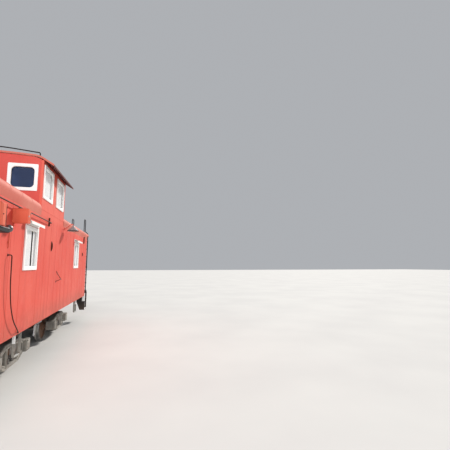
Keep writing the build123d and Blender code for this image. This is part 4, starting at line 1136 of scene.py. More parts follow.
# ================================================================== ends: railings, ladders, platforms, steps
def floor_flange(g, p, n, r, mat=0, bolts=4):
    g.lathe([(r * 2.6, -0.0005), (r * 2.6, 0.006), (r * 2.4, 0.008), (r * 1.5, 0.010), (r * 1.2, 0.018), (r * 1.03, 0.022)], at(p, n), 24, mat)
    T = at(p, n)
    for k in range(bolts):
        a = math.pi / 4 + 2 * math.pi * k / bolts
        q = T @ Vector((r * 2.0 * math.cos(a), r * 2.0 * math.sin(a), 0.0085))
        g.bolt(q, n, r * 0.30, r * 0.25, mat, washer=False)


for tag, e in ENDS:
    g = Geo()
    x, pr = e * RAIL_X, 0.017
    for s in (-1, 1):
        yc, yi, top = s * 1.405, s * 0.400, 3.412
        g.tube(rounded([(x, yc, DECK_Z - 0.010), (x, yc, 3.300), (e * (ROOF_X - 0.060), yc, top + 0.006)], 0.060, 8), pr, 18)
        g.cyl((x, yi, DECK_Z - 0.010), (x, yi, 2.168), pr, 18, 0.002)
        g.ball((x, yi, 2.166), 0.0195, 0, 18, 10)
        for z in (1.500, 1.830, 2.160):
            g.cyl((x, yc, z), (x, yi, z), 0.013, 16, 0.001)
            for y, d in ((yc, -s), (yi, s)):
                g.lathe([(0.0235, -0.022), (0.0235, 0.022)], at((x, y, z)), 18)
                g.lathe([(0.0235, 0.022), (0.0215, 0.0245), (0.0172, 0.026)], at((x, y, z)), 18)
                g.lathe([(0.0172, -0.026), (0.0215, -0.0245), (0.0235, -0.022)], at((x, y, z)), 18)
                g.lathe([(0.0195, 0.016), (0.0195, 0.040), (0.0175, 0.043), (0.0132, 0.044)], at((x, y, z), (0, d, 0)), 16)
        for y in (yc, yi):
            floor_flange(g, (x, y, DECK_Z - 0.0095), (0, 0, 1), pr)
        g.box((e * (ROOF_X - 0.100), yc - 0.024, 3.412), (e * (ROOF_X - 0.030), yc + 0.024, 3.424), 0.002)
    piece("end_railing_" + tag, g, ["black"], replaces=("railing_" + tag,))

    g = Geo()
    s = -1 if e > 0 else 1
    x, xr = e * LADDER_X, e * (ROOF_X - 0.050)
    yi, yo, yl = s * LADDER_Y[0], s * LADDER_Y[1], s * LADDER_LOW_Y
    g.tube(rounded([(e * (SILL_X - 0.002), yi, 1.040), (x, yi, 1.040), (x, yi, LADDER_TOP), (xr, yi, LADDER_TOP), (xr, yi, roof_z(yi) - 0.002)], [0.026, 0.090, 0.090], 9), 0.016, 16)
    g.tube(rounded([(e * (SILL_X - 0.002), yl, 1.040), (x, yl, 1.040), (x, yl, 3.590), (x, yo, 3.700), (x, yo, LADDER_TOP), (xr, yo, LADDER_TOP), (xr, yo, roof_z(yo) - 0.002)], [0.026, 0.060, 0.060, 0.090, 0.090], 9), 0.016, 16)
    for z in (1.330, 1.650, 1.970, 2.290, 2.610, 2.930, 3.250, 3.550):
        g.cyl((x, yi - s * 0.004, z), (x, yl + s * 0.004, z), 0.011, 16, 0.001)
        for y, d in ((yi, 1), (yl, -1)):
            g.lathe([(0.0165, 0.012), (0.0165, 0.021), (0.013, 0.025), (0.0112, 0.027)], at((x, y, z), (0, s * d, 0)), 16)
    for y, z in ((yi, roof_z(yi) - ROOF_T * 0.72 - 0.007), (yl, 3.536)):
        g.box((e * (ROOF_X + 0.001), y - 0.020, z), (x, y + 0.020, z + 0.014), 0.002)
        g.box((e * (ROOF_X + 0.0005), y - 0.030, z - 0.018), (e * (ROOF_X + 0.008), y + 0.030, z + 0.020 + 0.012), 0.002)
    for y in (yi, yl):
        T = face((e * SILL_X, y, 1.040), (e, 0, 0))
        g.box((-0.030, -0.052, -0.001), (0.030, 0.052, 0.007), 0.002, 0, T)
        for k in (-1, 1):
            g.bolt(T @ Vector((0, k * 0.036, 0.007)), (e, 0, 0), 0.009, 0.007)
    for y in (yi, yo):
        z = roof_z(y)
        dz = (roof_z(abs(y) + 0.01) - roof_z(abs(y) - 0.01)) / 0.02 * s
        n = Vector((0, -dz, 1)).normalized()
        g.lathe([(0.036, -0.004), (0.036, 0.005), (0.032, 0.008), (0.020, 0.010), (0.0165, 0.020)], at((xr, y, z), n), 22)
    piece("end_ladder_" + tag, g, ["black"], replaces=("ladder_" + tag,))

    refine("platform_" + tag, ["black", "deck"], lambda c, n: 1 if n.z > 0.5 else 0, 0.003)
    refine("steps_" + tag, ["black", "deck"], lambda c, n: 1 if n.z > 0.9 and c.z < 1.1 else 0, 0.0025)
    g = Geo()
    for s in (-1, 1):
        for z, a, b in TREADS:
            g.box((e * (STEP_X0 + 0.014), s * (b - 0.032), z - 0.026), (e * (STEP_X1 - 0.014), s * (b + 0.0015), z + 0.0022), 0.002)
        for x in (STEP_X0 + 0.006, STEP_X1 - 0.006):
            g.box((e * (x - 0.0075), s * 1.4745, 0.442), (e * (x + 0.0075), s * 1.4775, 1.118), 0.001)
        g.box((e * (STEP_X0 + 0.012), s * 1.0785, 1.1305), (e * (STEP_X1 - 0.012), s * 1.0815, 1.1712), 0.001)
        g.box((e * (STEP_X0 - 0.002), s * 1.372, 0.790), (e * (STEP_X0 + 0.001), s * 1.4775, 1.110), 0.001)
    piece("step_edges_" + tag, g, ["white"])
    g = Geo()
    # kick strip along the platform's end, rivets and bolts on the end sill
    g.box((e * (SILL_X - 0.006), -1.438, 1.1695), (e * (SILL_X - 0.0005), 1.438, 1.200), 0.0015)
    for y in [k * 0.16 - 1.28 for k in range(17)]:
        if abs(y) > 0.27:
            g.rivet((e * (SILL_X + 0.0005), y, 1.100), (e, 0, 0), 0.011)
            g.rivet((e * (SILL_X + 0.0005), y, 1.030), (e, 0, 0), 0.011)
    for s in (-1, 1):
        for z in (0.84, 0.96):
            g.bolt((e * SILL_X, s * 0.185, z), (e, 0, 0), 0.017, 0.012)
    # uncoupling lever across the end sill, with its brackets
    lx = e * (SILL_X + 0.060)
    sy = -e
    g.tube(rounded([(lx, sy * 0.100, 1.075), (lx, sy * 0.160, 1.075), (lx, sy * 0.700, 1.075), (lx, sy * 0.760, 0.900)], [0.020, 0.020], 6), 0.0105, 12)
    for y in (0.270, 0.640):
        g.box((e * (SILL_X - 0.001), sy * y - 0.018, 1.055), (lx + e * 0.012, sy * y + 0.018, 1.062), 0.0015)
        g.box((lx - 0.014, sy * y - 0.016, 1.060), (lx + 0.014, sy * y + 0.016, 1.090), 0.0025)
    piece("end_sill_fittings_" + tag, g, ["black"])

# ------------------------------------------------------------------ hand brake
g = Geo()
x, y, z = SILL_X - 0.105, 0.900, 2.350
xw = x - 0.075
T = at((xw, y, z), (1, 0, 0))
ring = [T @ Vector((0.250 * math.cos(2 * math.pi * k / 64), 0.250 * math.sin(2 * math.pi * k / 64), 0)) for k in range(64)]
g.tube(ring, 0.013, 14, 0, closed=True)
for k in range(4):
    a = math.radians(45 + 90 * k)
    d = Vector((0, math.cos(a), math.sin(a)))
    c = Vector((xw, y, z))
    g.tube([c + d * 0.030 + Vector((0.004, 0, 0)), c + d * 0.14 + Vector((-0.004, 0, 0)), c + d * 0.238], 0.0095, 12, 0, flat=(1.0, 0.8))
g.lathe([(0.0, -0.026), (0.016, -0.026), (0.019, -0.020), (0.040, -0.016), (0.046, -0.008), (0.046, 0.010), (0.034, 0.016), (0.024, 0.032), (0.018, 0.040), (0.018, 0.078)], T, 32, 0)
g.bolt((xw - 0.026, y, z), (-1, 0, 0), 0.013, 0.012)
g.box((x - 0.045, y - 0.055, z - 0.130), (x + 0.045, y + 0.055, z + 0.060), 0.012)
g.lathe([(0.050, -0.001), (0.050, 0.004), (0.044, 0.008), (0.0, 0.008)], at((x - 0.045, y, z), (-1, 0, 0)), 28)
for dy, dz in ((-0.042, 0.046), (0.042, 0.046), (-0.042, -0.112), (0.042, -0.112)):
    g.bolt((x - 0.045, y + dy, z + dz), (-1, 0, 0), 0.007, 0.006, washer=False)
g.cyl((x, y, DECK_Z - 0.010), (x, y, z - 0.120), 0.019, 20, 0.002)
g.lathe([(0.030, -0.012), (0.034, -0.006), (0.034, 0.006), (0.028, 0.014), (0.0195, 0.018)], at((x, y, z - 0.148)), 22)
floor_flange(g, (x, y, DECK_Z - 0.0095), (0, 0, 1), 0.022)
for zz in (1.500, 1.830):
    g.lathe([(0.026, -0.016), (0.028, -0.012), (0.028, 0.012), (0.026, 0.016)], at((x, y, zz)), 20)
    g.box((x, y - 0.010, zz - 0.010), (RAIL_X, y + 0.010, zz + 0.010), 0.002)
piece("brake_wheel", g, ["black"], replaces=("hand_brake",), sharp=40)

refine("smoke_stack", ["black"], None, 0.002, 2)
g = Geo()
g.lathe([(0.160, 0.001), (0.164, 0.004), (0.164, 0.012), (0.156, 0.018), (0.094, 0.030), (0.0865, 0.036)], at((-3.700, 0.760, roof_z(0.760) + 0.060)), 36)
for zz in (3.98, 4.16):
    g.lathe([(0.0855, -0.014), (0.0885, -0.011), (0.0885, 0.011), (0.0855, 0.014)], at((-3.700, 0.760, zz)), 36)
g.lathe([(0.0845, 0.0), (0.088, 0.002), (0.088, 0.010), (0.0845, 0.012)], at((-3.700, 0.760, 4.236)), 36)
piece("stack_bands", g, ["black"], sharp=38)

# ================================================================== doors
for tag, e in ENDS:
    refine("door_" + tag, ["red_end", "cream", "brass"],
           lambda c, n, e=e: 2 if abs(c.x) > BODY_X + 0.001 else (1 if n.x * e < -0.5 and abs(c.x) < BODY_X - 0.040 else 0), 0.0025)
    g = Geo()
    T = face((e * (BODY_X - 0.003), 0, DECK_Z + 1.430), (e, 0, 0))
    ring_plate(g, rrect(0.510, 0.650, 0.030, 5), rrect(0.452, 0.592, 0.022, 5), 0.007, T, 0, 0.003)
    ring_plate(g, rrect(0.458, 0.598, 0.022, 5), rrect(0.440, 0.580, 0.018, 5), 0.002, Matrix.Translation((e * -0.010, 0, 0)) @ T, 2, 0.001)
    T = face((e * (BODY_X - 0.013), 0, DECK_Z + 0.580), (e, 0, 0))
    ring_plate(g, rrect(0.530, 0.790, 0.012, 3), rrect(0.496, 0.756, 0.008, 3), 0.006, T, 0, 0.003)
    ring_plate(g, rrect(0.300, 0.560, 0.010, 3), rrect(0.278, 0.538, 0.008, 3), 0.004, T, 0, 0.002)
    hy = e * 0.377
    for z in (1.420, 2.150, 2.880):
        g.cyl((e * (BODY_X - 0.008), hy - e * 0.010, z - 0.050), (e * (BODY_X - 0.008), hy - e * 0.010, z + 0.050), 0.0065, 14, 0.001, 1)
        T = face((e * (BODY_X - 0.003), hy - e * 0.046, z), (e, 0, 0))
        g.box((-0.030, -0.048, -0.001), (0.030, 0.048, 0.0035), 0.001, 1, T)
        for k in (-1, 1):
            g.rivet(T @ Vector((0.0, k * 0.030, 0.003)), (e, 0, 0), 0.006, 1)
    T = face((e * (BODY_X - 0.003), -e * 0.310, DECK_Z + 1.000), (e, 0, 0))
    ring_plate(g, rrect(0.058, 0.150, 0.028, 5), rrect(0.024, 0.116, 0.011, 5), 0.004, T, 3, 0.0015)
    g.cyl(T @ Vector((0, -0.110, 0)), T @ Vector((0, -0.110, 0.008)), 0.018, 22, 0.002, 3)
    T = face((e * (BODY_X - 0.003), 0, DECK_Z + 0.095), (e, 0, 0))
    g.box((-0.350, -0.075, -0.001), (0.350, 0.075, 0.002), 0.0008, 1, T)
    piece("door_trim_" + tag, g, ["red_end", "zinc", "rubber", "brass"], body="door_%s_leaf" % tag, sharp=38)
    g = Geo()
    T = face((e * (BODY_X - 0.017), 0, DECK_Z + 1.430), (e, 0, 0))
    g.box((-0.2295, -0.2995, -0.0115), (0.2295, 0.2995, -0.0045), 0.0008, 0, T)
    piece("door_pane_" + tag, g, ["glass"], body="door_%s_leaf" % tag, replaces=("door_glass_" + tag,), sharp=40)
    g = Geo()
    # door surround on the end wall and a small rain strip
    xo = e * BODY_X
    for sy in (-1, 1):
        g.box((xo - e * 0.001, sy * (DOOR_W / 2 + 0.002), DECK_Z), (xo + e * 0.008, sy * (DOOR_W / 2 + 0.050), DECK_Z + DOOR_H + 0.050), 0.002)
    g.box((xo - e * 0.001, -DOOR_W / 2 - 0.002, DECK_Z + DOOR_H + 0.002), (xo + e * 0.008, DOOR_W / 2 + 0.002, DECK_Z + DOOR_H + 0.050), 0.002)
    g.box((xo - e * 0.001, -DOOR_W / 2 - 0.070, DECK_Z + DOOR_H + 0.062), (xo + e * 0.034, DOOR_W / 2 + 0.070, DECK_Z + DOOR_H + 0.070), 0.002)
    for y in (-1.18, -0.60, 0.60, 1.18):
        g.box((xo - e * 0.001, y - 0.009, DECK_Z + 0.01), (xo + e * 0.003, y + 0.009, min(3.36, roof_z(y) - 0.06)), 0.0014)
    for sy in (-1, 1):
        for k in range(13):
            g.rivet((xo + e * 0.0075, sy * (DOOR_W / 2 + 0.026), DECK_Z + 0.08 + k * 0.155), (e, 0, 0), 0.006)
    piece("door_surround_" + tag, g, ["red_end"])

# ================================================================== underframe and couplers
refine("centre_sill", ["black"], None, 0.004, 2)
refine("cross_members", ["black"], None, 0.006, 2)
refine("outer_sills", ["black"], None, 0.005, 2)
g = Geo()
for s in (-1, 1):
    for i in range(48):
        x = -4.70 + i * 0.20
        g.rivet((x, s * 1.4002, 1.105), (0, s, 0), 0.009)
        g.rivet((x, s * 0.1602, 0.850), (0, s, 0), 0.010)
    for e in (-1, 1):
        for dx in (-0.12, 0.0, 0.12):
            for z in (0.960, 1.010):
                g.rivet((e * TRUCK_X + dx, s * 1.3302, z), (0, s, 0), 0.012)
        # jacking pads under the bolsters
        g.box((e * TRUCK_X - 0.090, s * 1.170, 0.9305), (e * TRUCK_X + 0.090, s * 1.300, 0.9245), 0.002)
piece("underframe_rivets", g, ["black"])

for tag, e in ENDS:
    refine("coupler_" + tag, ["cast_dark"], None, 0.012, 3)
    g = Geo()
    # knuckle pin, guard arm rib, lock lift and carrier plate
    px, py, cz = e * 5.950, e * -0.100, 0.901
    g.lathe([(0.0, 0.158), (0.018, 0.158), (0.024, 0.152), (0.024, 0.140), (0.0205, 0.136), (0.0205, -0.136), (0.0205, -0.150), (0.0, -0.152)], at((px, py, cz)), 20)
    g.lathe([(0.045, 0.124), (0.045, 0.130), (0.040, 0.134), (0.022, 0.135)], at((px, py, cz)), 24)
    g.lathe([(0.045, 0.124), (0.045, 0.130), (0.040, 0.134), (0.022, 0.135)], at((px, py, cz), (0, 0, -1)), 24)
    for z in (-0.045, 0.045):
        g.box((e * 5.700, e * 0.080, cz + z - 0.012), (e * 5.820, e * 0.118, cz + z + 0.012), 0.006)
    g.box((e * 5.640, -0.040, cz + 0.120), (e * 5.760, 0.040, cz + 0.140), 0.008)
    g.tube(rounded([(e * 5.700, 0.0, cz + 0.138), (e * 5.700, 0.0, cz + 0.176), (e * 5.590, e * -0.098, cz + 0.176)], 0.012, 5), 0.009, 12)
    g.box((e * (SILL_X + 0.001), -0.082, cz - 0.0800), (e * (SILL_X + 0.050), 0.082, cz - 0.0630), 0.003)
    ring_plate(g, rrect(0.250, 0.250, 0.020, 4), rrect(0.170, 0.168, 0.008, 4), 0.022, face((e * SILL_X, 0, cz), (e, 0, 0)), 0, 0.004)
    piece("coupler_fittings_" + tag, g, ["cast_dark"], sharp=40)

# ------------------------------------------------------------------ air brake gear
g = Geo()
c = Vector((-0.435, 0.760, 0.905))
T = at(c - Vector((0.350, 0, 0)), (1, 0, 0))
prof = [(0.0, 0.0), (0.045, 0.001), (0.090, 0.008), (0.130, 0.024), (0.156, 0.048), (0.1685, 0.078), (0.1700, 0.082)]
g.lathe(prof + [(0.1700, 0.088), (0.1685, 0.090), (0.1685, 0.610), (0.1700, 0.612), (0.1700, 0.618)] + [(r, 0.700 - h) for r, h in reversed(prof)], T, 56, 0)
for h in (0.19, 0.51):
    g.lathe([(0.1690, h - 0.020), (0.1735, h - 0.019), (0.1735, h + 0.019), (0.1690, h + 0.020)], T, 56, 1)
for x in (-0.660, -0.210):
    g.box((x - 0.020, 0.720, 0.905), (x + 0.020, 0.800, 1.130), 0.004, 1)
    g.box((x - 0.034, 0.700, 1.118), (x + 0.034, 0.820, 1.130), 0.003, 1)
    for y in (0.712, 0.808):
        g.bolt((x, y, 1.118), (0, 0, -1), 0.009, 0.007, 1)
g.cyl((-0.435, 0.760, 0.742), (-0.435, 0.760, 0.712), 0.016, 16, 0.002, 1)
g.cyl((-0.459, 0.760, 0.722), (-0.405, 0.760, 0.722), 0.008, 12, 0.001, 1)
T = at((0.410, 0.620, 0.960), (1, 0, 0))
g.lathe([(0.0, 0.0), (0.060, 0.001), (0.096, 0.006), (0.1150, 0.014), (0.1190, 0.020), (0.1200, 0.030), (0.1200, 0.044), (0.1080, 0.048),
         (0.1040, 0.056), (0.1040, 0.360), (0.1080, 0.366), (0.1200, 0.370), (0.1200, 0.392), (0.1170, 0.396), (0.0800, 0.402), (0.050, 0.414), (0.034, 0.420), (0.0, 0.420)], T, 48, 0)
for k in range(8):
    a = 2 * math.pi * (k + 0.5) / 8
    for h, d in ((0.044, 1), (0.366, -1)):
        g.bolt(T @ Vector((0.112 * math.cos(a), 0.112 * math.sin(a), h)), (d, 0, 0), 0.0075, 0.006, 1, washer=False)
g.cyl((0.815, 0.620, 0.960), (0.985, 0.620, 0.960), 0.021, 20, 0.002, 1)
g.box((0.960, 0.594, 0.934), (1.000, 0.646, 0.986), 0.006, 1)
g.box((0.560, 0.600, 1.050), (0.680, 0.640, 1.130), 0.005, 1)
g.box((0.540, 0.580, 1.118), (0.700, 0.660, 1.130), 0.003, 1)
g.box((0.450, -0.700, 0.912), (0.630, -0.500, 1.048), 0.016, 0)
for x0, x1 in ((0.440, 0.456), (0.624, 0.640)):
    g.box((x0, -0.715, 0.902), (x1, -0.485, 1.058), 0.004, 0)
    for y in (-0.690, -0.510):
        for z in (0.925, 1.035):
            e = 1 if x0 > 0.5 else -1
            g.bolt((x1 if e > 0 else x0, y, z), (e, 0, 0), 0.009, 0.007, 1, washer=False)
g.lathe([(0.052, -0.001), (0.052, 0.012), (0.046, 0.020), (0.022, 0.026), (0.0, 0.026)], at((0.540, -0.600, 0.912), (0, 0, -1)), 28, 0)
g.box((0.520, -0.620, 1.040), (0.560, -0.580, 1.130), 0.004, 1)
g.box((0.490, -0.650, 1.120), (0.590, -0.550, 1.130), 0.002, 1)
# pipes between them
g.tube(rounded([(0.442, -0.560, 0.965), (0.330, -0.560, 0.965), (0.330, 0.500, 0.965), (0.330, 0.620, 0.965), (0.412, 0.620, 0.965)], 0.050, 8), 0.013, 14, 1)
g.tube(rounded([(0.442, -0.640, 0.940), (0.240, -0.640, 0.940), (0.240, 0.760, 0.940), (-0.070, 0.760, 0.940), (-0.087, 0.760, 0.940)], [0.060, 0.060, 0.001], 8), 0.015, 14, 1)
g.tube(rounded([(0.638, -0.560, 0.965), (1.600, -0.560, 0.965), (1.700, -0.500, 0.965), (1.982, -0.500, 0.965)], 0.080, 6), 0.016, 14, 1)
g.tube(rounded([(0.638, -0.640, 0.940), (0.760, -0.640, 0.940), (0.760, -0.900, 0.940), (-1.982, -0.900, 0.940)], 0.070, 8), 0.016, 14, 1)
for p, d in (((0.330, -0.158, 0.965), (0, 1, 0)), ((0.240, -0.158, 0.940), (0, 1, 0)), ((0.330, 0.158, 0.965), (0, 1, 0)), ((0.240, 0.158, 0.940), (0, 1, 0)),
             ((0.418, -0.560, 0.965), (1, 0, 0)), ((0.410, -0.640, 0.940), (1, 0, 0)), ((0.662, -0.560, 0.965), (1, 0, 0)), ((0.662, -0.640, 0.940), (1, 0, 0)),
             ((1.500, -0.560, 0.965), (1, 0, 0)), ((-1.400, -0.900, 0.940), (1, 0, 0)), ((-0.062, 0.760, 0.940), (1, 0, 0))):
    g.lathe([(0.0165, -0.020), (0.0235, -0.018), (0.0250, -0.010), (0.0250, 0.010), (0.0235, 0.018), (0.0165, 0.020)], at(p, d), 18, 1)
for x, y, z in ((-1.80, -0.900, 0.940), (-1.10, -0.900, 0.940), (0.0, -0.900, 0.940), (1.80, -0.500, 0.965), (1.10, -0.560, 0.965)):
    top = 0.990 if abs(x) < 1.5 else 1.130
    flat_bar(g, [(x, y - 0.024, top), (x, y - 0.024, z), (x, y - 0.017, z - 0.016), (x, y, z - 0.0225), (x, y + 0.017, z - 0.016), (x, y + 0.024, z), (x, y + 0.024, top)], 0.004, 0.026, (1, 0, 0), 1, 0.001)
# short pipe under the near sill, on two clips
g.tube(rounded([(-1.830, -1.372, 0.720), (-1.830, -1.372, 0.945), (-1.250, -1.372, 0.945), (-1.250, -1.372, 1.022)], 0.040, 7), 0.012, 14, 2)
for x in (-1.780, -1.330):
    g.box((x - 0.013, -1.386, 0.930), (x + 0.013, -1.382, 1.022), 0.001, 2)
g.lathe([(0.012, -0.020), (0.019, -0.018), (0.019, 0.018), (0.012, 0.020)], at((-1.830, -1.372, 0.760)), 18, 2)
piece("brake_gear", g, ["cast_dark", "rust", "zinc"], replaces=("air_brake_gear",), sharp=40)

# ================================================================== trucks
OUTER = [(-1.010, 0.330), (-1.010, 0.560), (-0.700, 0.590), (-0.430, 0.700), (0.430, 0.700), (0.700, 0.590), (1.010, 0.560),
         (1.010, 0.330), (0.690, 0.330), (0.400, 0.215), (-0.400, 0.215), (-0.690, 0.330)]
OUTER = OUTER[::-1]


def ccw(poly):
    a = sum(p[0] * q[1] - q[0] * p[1] for p, q in zip(poly, poly[1:] + poly[:1]))
    return poly if a > 0 else poly[::-1]


def soft_poly(poly, r, n=4):
    """Closed outline with rounded corners."""
    out, k = [], len(poly)
    for i in range(k):
        a, b, c = Vector(poly[i - 1]), Vector(poly[i]), Vector(poly[(i + 1) % k])
        u, v = (a - b).normalized(), (c - b).normalized()
        h = u.angle(v) / 2
        if h > math.radians(88):
            out.append((b.x, b.y))
            continue
        t = min(r / math.tan(h), 0.45 * (a - b).length, 0.45 * (c - b).length)
        m = b + (u + v).normalized() * (t / math.cos(h))
        v0, v1 = b + u * t - m, b + v * t - m
        ang = v0.angle_signed(v1)
        for j in range(n + 1):
            w = v0.copy()
            w.rotate(Matrix.Rotation(-ang * j / n, 2))
            out.append((m.x + w.x, m.y + w.y))
    return out


for tag, e in ENDS:
    cx, body = e * TRUCK_X, "truck_" + tag
    refine("truck_frames_" + tag, ["cast"], None, 0.011, 3)
    refine("truck_bolster_" + tag, ["cast_dark"], None, 0.009, 3)
    refine("brake_beams_" + tag, ["rust"], None, 0.004, 2)
    g = Geo()
    for s in (-1, 1):
        T = face((cx, s * (FRAME_Y + FRAME_T / 2), 0), (0, s, 0))
        o = ccw(OUTER)
        a, b = soft_poly(inset(o, 0.010), 0.030), soft_poly(inset(o, 0.038), 0.018)
        ring_plate(g, a, b, 0.011, T, 0, 0.003)
        win = ccw([(-0.270, 0.290), (0.270, 0.290), (0.270, 0.600), (-0.270, 0.600)])
        ring_plate(g, soft_poly(inset(win, -0.036), 0.030), soft_poly(inset(win, -0.008), 0.010), 0.011, T, 0, 0.003)
        for k in (-1, 1):
            tri = ccw([(k * 0.380, 0.320), (k * 0.380, 0.610), (k * 0.610, 0.520), (k * 0.610, 0.390)])
            ring_plate(g, soft_poly(inset(tri, -0.030), 0.030), soft_poly(inset(tri, -0.008), 0.012), 0.010, T, 0, 0.003)
            # journal box lid with its hinge and spring lug
            Tj = face((cx, s * (FRAME_Y + BOX_OUT), 0), (0, s, 0)) @ Matrix.Translation((k * WHEELBASE / 2, AXLE_Z, 0))
            loops = []
            for w, h, r, z in ((0.214, 0.196, 0.030, -0.002), (0.214, 0.196, 0.030, 0.010), (0.206, 0.188, 0.028, 0.014),
                               (0.160, 0.140, 0.024, 0.017), (0.146, 0.126, 0.022, 0.023), (0.120, 0.100, 0.020, 0.026)):
                loops.append([(x, y, z) for x, y in rrect(w, h, r, 5)])
            g.skin(loops, 0, Tj, cap0=True, cap1=True)
            g.cyl(Tj @ Vector((-0.075, 0.106, 0.010)), Tj @ Vector((0.075, 0.106, 0.010)), 0.013, 16, 0.002)
            for q in (-0.062, 0.0, 0.062):
                g.box((q - 0.012, 0.080, -0.002), (q + 0.012, 0.124, 0.013), 0.003, 0, Tj)
            g.box((-0.016, -0.112, 0.000), (0.016, -0.086, 0.020), 0.004, 0, Tj)
            # box ribs, retaining bolts at each side
            for q in (-0.118, 0.118):
                g.box((q - 0.010, -0.112, -0.001), (q + 0.010, 0.124, 0.010), 0.003, 0, Tj)
            for q in (-0.165, 0.165):
                p = face((cx, s * (FRAME_Y + FRAME_T / 2), 0), (0, s, 0)) @ Vector((k * WHEELBASE / 2 + q * 1.04, 0.500 if abs(k * WHEELBASE / 2 + q) < 0.838 else 0.500, 0.0))
                g.bolt(p, (0, s, 0), 0.014, 0.012)
        for q in (-0.330, 0.330):
            for z in (0.640, 0.255):
                g.bolt(T @ Vector((q, z if z > 0.5 else 0.262, 0)), (0, s, 0), 0.015, 0.013)
        # bolster end: gib faces in the frame window
        g.box((-0.205, 0.470, -0.030), (-0.193, 0.590, 0.008), 0.002, 1, T)
        g.box((0.193, 0.470, -0.030), (0.205, 0.590, 0.008), 0.002, 1, T)
    piece("frame_castings_" + tag, g, ["cast", "rust"], body=body, sharp=40)

    # coil springs, two nested coils in each place
    g = Geo()
    for s in (-1, 1):
        for dx in (-0.120, 0.120):
            base = Vector((cx + dx, s * FRAME_Y, 0.290))
            for R, r, turns, hand in ((0.0575, 0.0120, 4.6, 1), (0.0310, 0.0080, 6.2, -1)):
                pts, n = [], int(turns * 18)
                for i in range(n + 1):
                    t = i / n
                    a = 2 * math.pi * turns * t * hand
                    f = t + 0.055 * math.sin(2 * math.pi * t) * -1
                    zc = r + (0.185 - 2 * r) * min(1, max(0, f))
                    pts.append(base + Vector((R * math.cos(a), R * math.sin(a), zc)))
                g.tube(pts, r, 10)
            for z in (0.0, 0.185):
                g.lathe([(0.020, -0.0025), (0.069, -0.0025), (0.0695, 0.0), (0.069, 0.0025), (0.020, 0.0025), (0.020, -0.0025)], at(base + Vector((0, 0, z + (0.0026 if z == 0 else -0.0026)))), 28)
    piece("coil_springs_" + tag, g, ["cast_dark"], body=body, replaces=("truck_springs_" + tag,), sharp=50)

    # bolster: centre bowl rim, side bearings, spring seats; brake shoes and hangers
    g = Geo()
    for s in (-1, 1):
        g.box((cx - 0.110, s * 0.600, 0.7395), (cx + 0.110, s * 0.720, 0.7520), 0.004, 0)
        g.cyl((cx - 0.085, s * 0.660, 0.768), (cx + 0.085, s * 0.660, 0.768), 0.020, 18, 0.002, 1)
        for k in (-1, 1):
            g.box((cx + k * 0.100 - 0.010, s * 0.612, 0.750), (cx + k * 0.100 + 0.010, s * 0.708, 0.790), 0.003, 0)
        g.box((cx - 0.186, s * 0.945, 0.4770), (cx + 0.186, s * 1.075, 0.4735), 0.001, 1)
        for k in (-1, 1):
            for dz in (0.520, 0.620, 0.690):
                g.rivet((cx + k * 0.1902, s * 0.780, dz), (k, 0, 0), 0.013, 0)
    for k in (-1, 1):
        # oval core hole rims in the bolster's sides
        for s in (-1, 1):
            T = face((cx + k * 0.190, s * 0.450, 0.605), (k, 0, 0))
            ring_plate(g, rrect(0.240, 0.120, 0.058, 8), rrect(0.210, 0.090, 0.043, 8), 0.006, T, 0, 0.002)
    g.lathe([(0.170, 0.798), (0.1715, 0.797), (0.1730, 0.792), (0.1730, 0.760), (0.200, 0.742), (0.205, 0.7395)], at((cx, 0, 0)), 44, 0)
    for k in (-1, 1):
        ax = cx + k * WHEELBASE / 2
        for s in (-1, 1):
            y = s * 0.761
            # hanger link and shoe key
            g.tube(rounded([(cx + k * 0.300, s * 0.690, 0.440), (cx + k * 0.262, s * 0.690, 0.690)], 0.01), 0.0115, 12, 1)
            g.cyl((cx + k * 0.300, s * 0.672, 0.440), (cx + k * 0.300, s * 0.716, 0.440), 0.026, 18, 0.003, 1)
            g.cyl((cx + k * 0.262, s * 0.672, 0.690), (cx + k * 0.262, s * 0.716, 0.690), 0.022, 18, 0.003, 1)
            g.box((cx + k * 0.186, s * 0.680, 0.676), (cx + k * 0.270, s * 0.708, 0.704), 0.004, 0)
            g.box((cx + k * 0.336, y - 0.020, 0.335), (cx + k * 0.322, y + 0.020, 0.545), 0.003, 1)
        # truss rod of the beam and the strut
        g.tube([(cx + k * 0.300, -0.900, 0.414), (cx + k * 0.240, 0.0, 0.400), (cx + k * 0.300, 0.900, 0.414)], 0.0125, 12, 1)
        g.box((cx + k * 0.232, -0.026, 0.396), (cx + k * 0.300, 0.026, 0.452), 0.005, 1)
    piece("bolster_fittings_" + tag, g, ["cast_dark", "rust"], body=body, sharp=40)

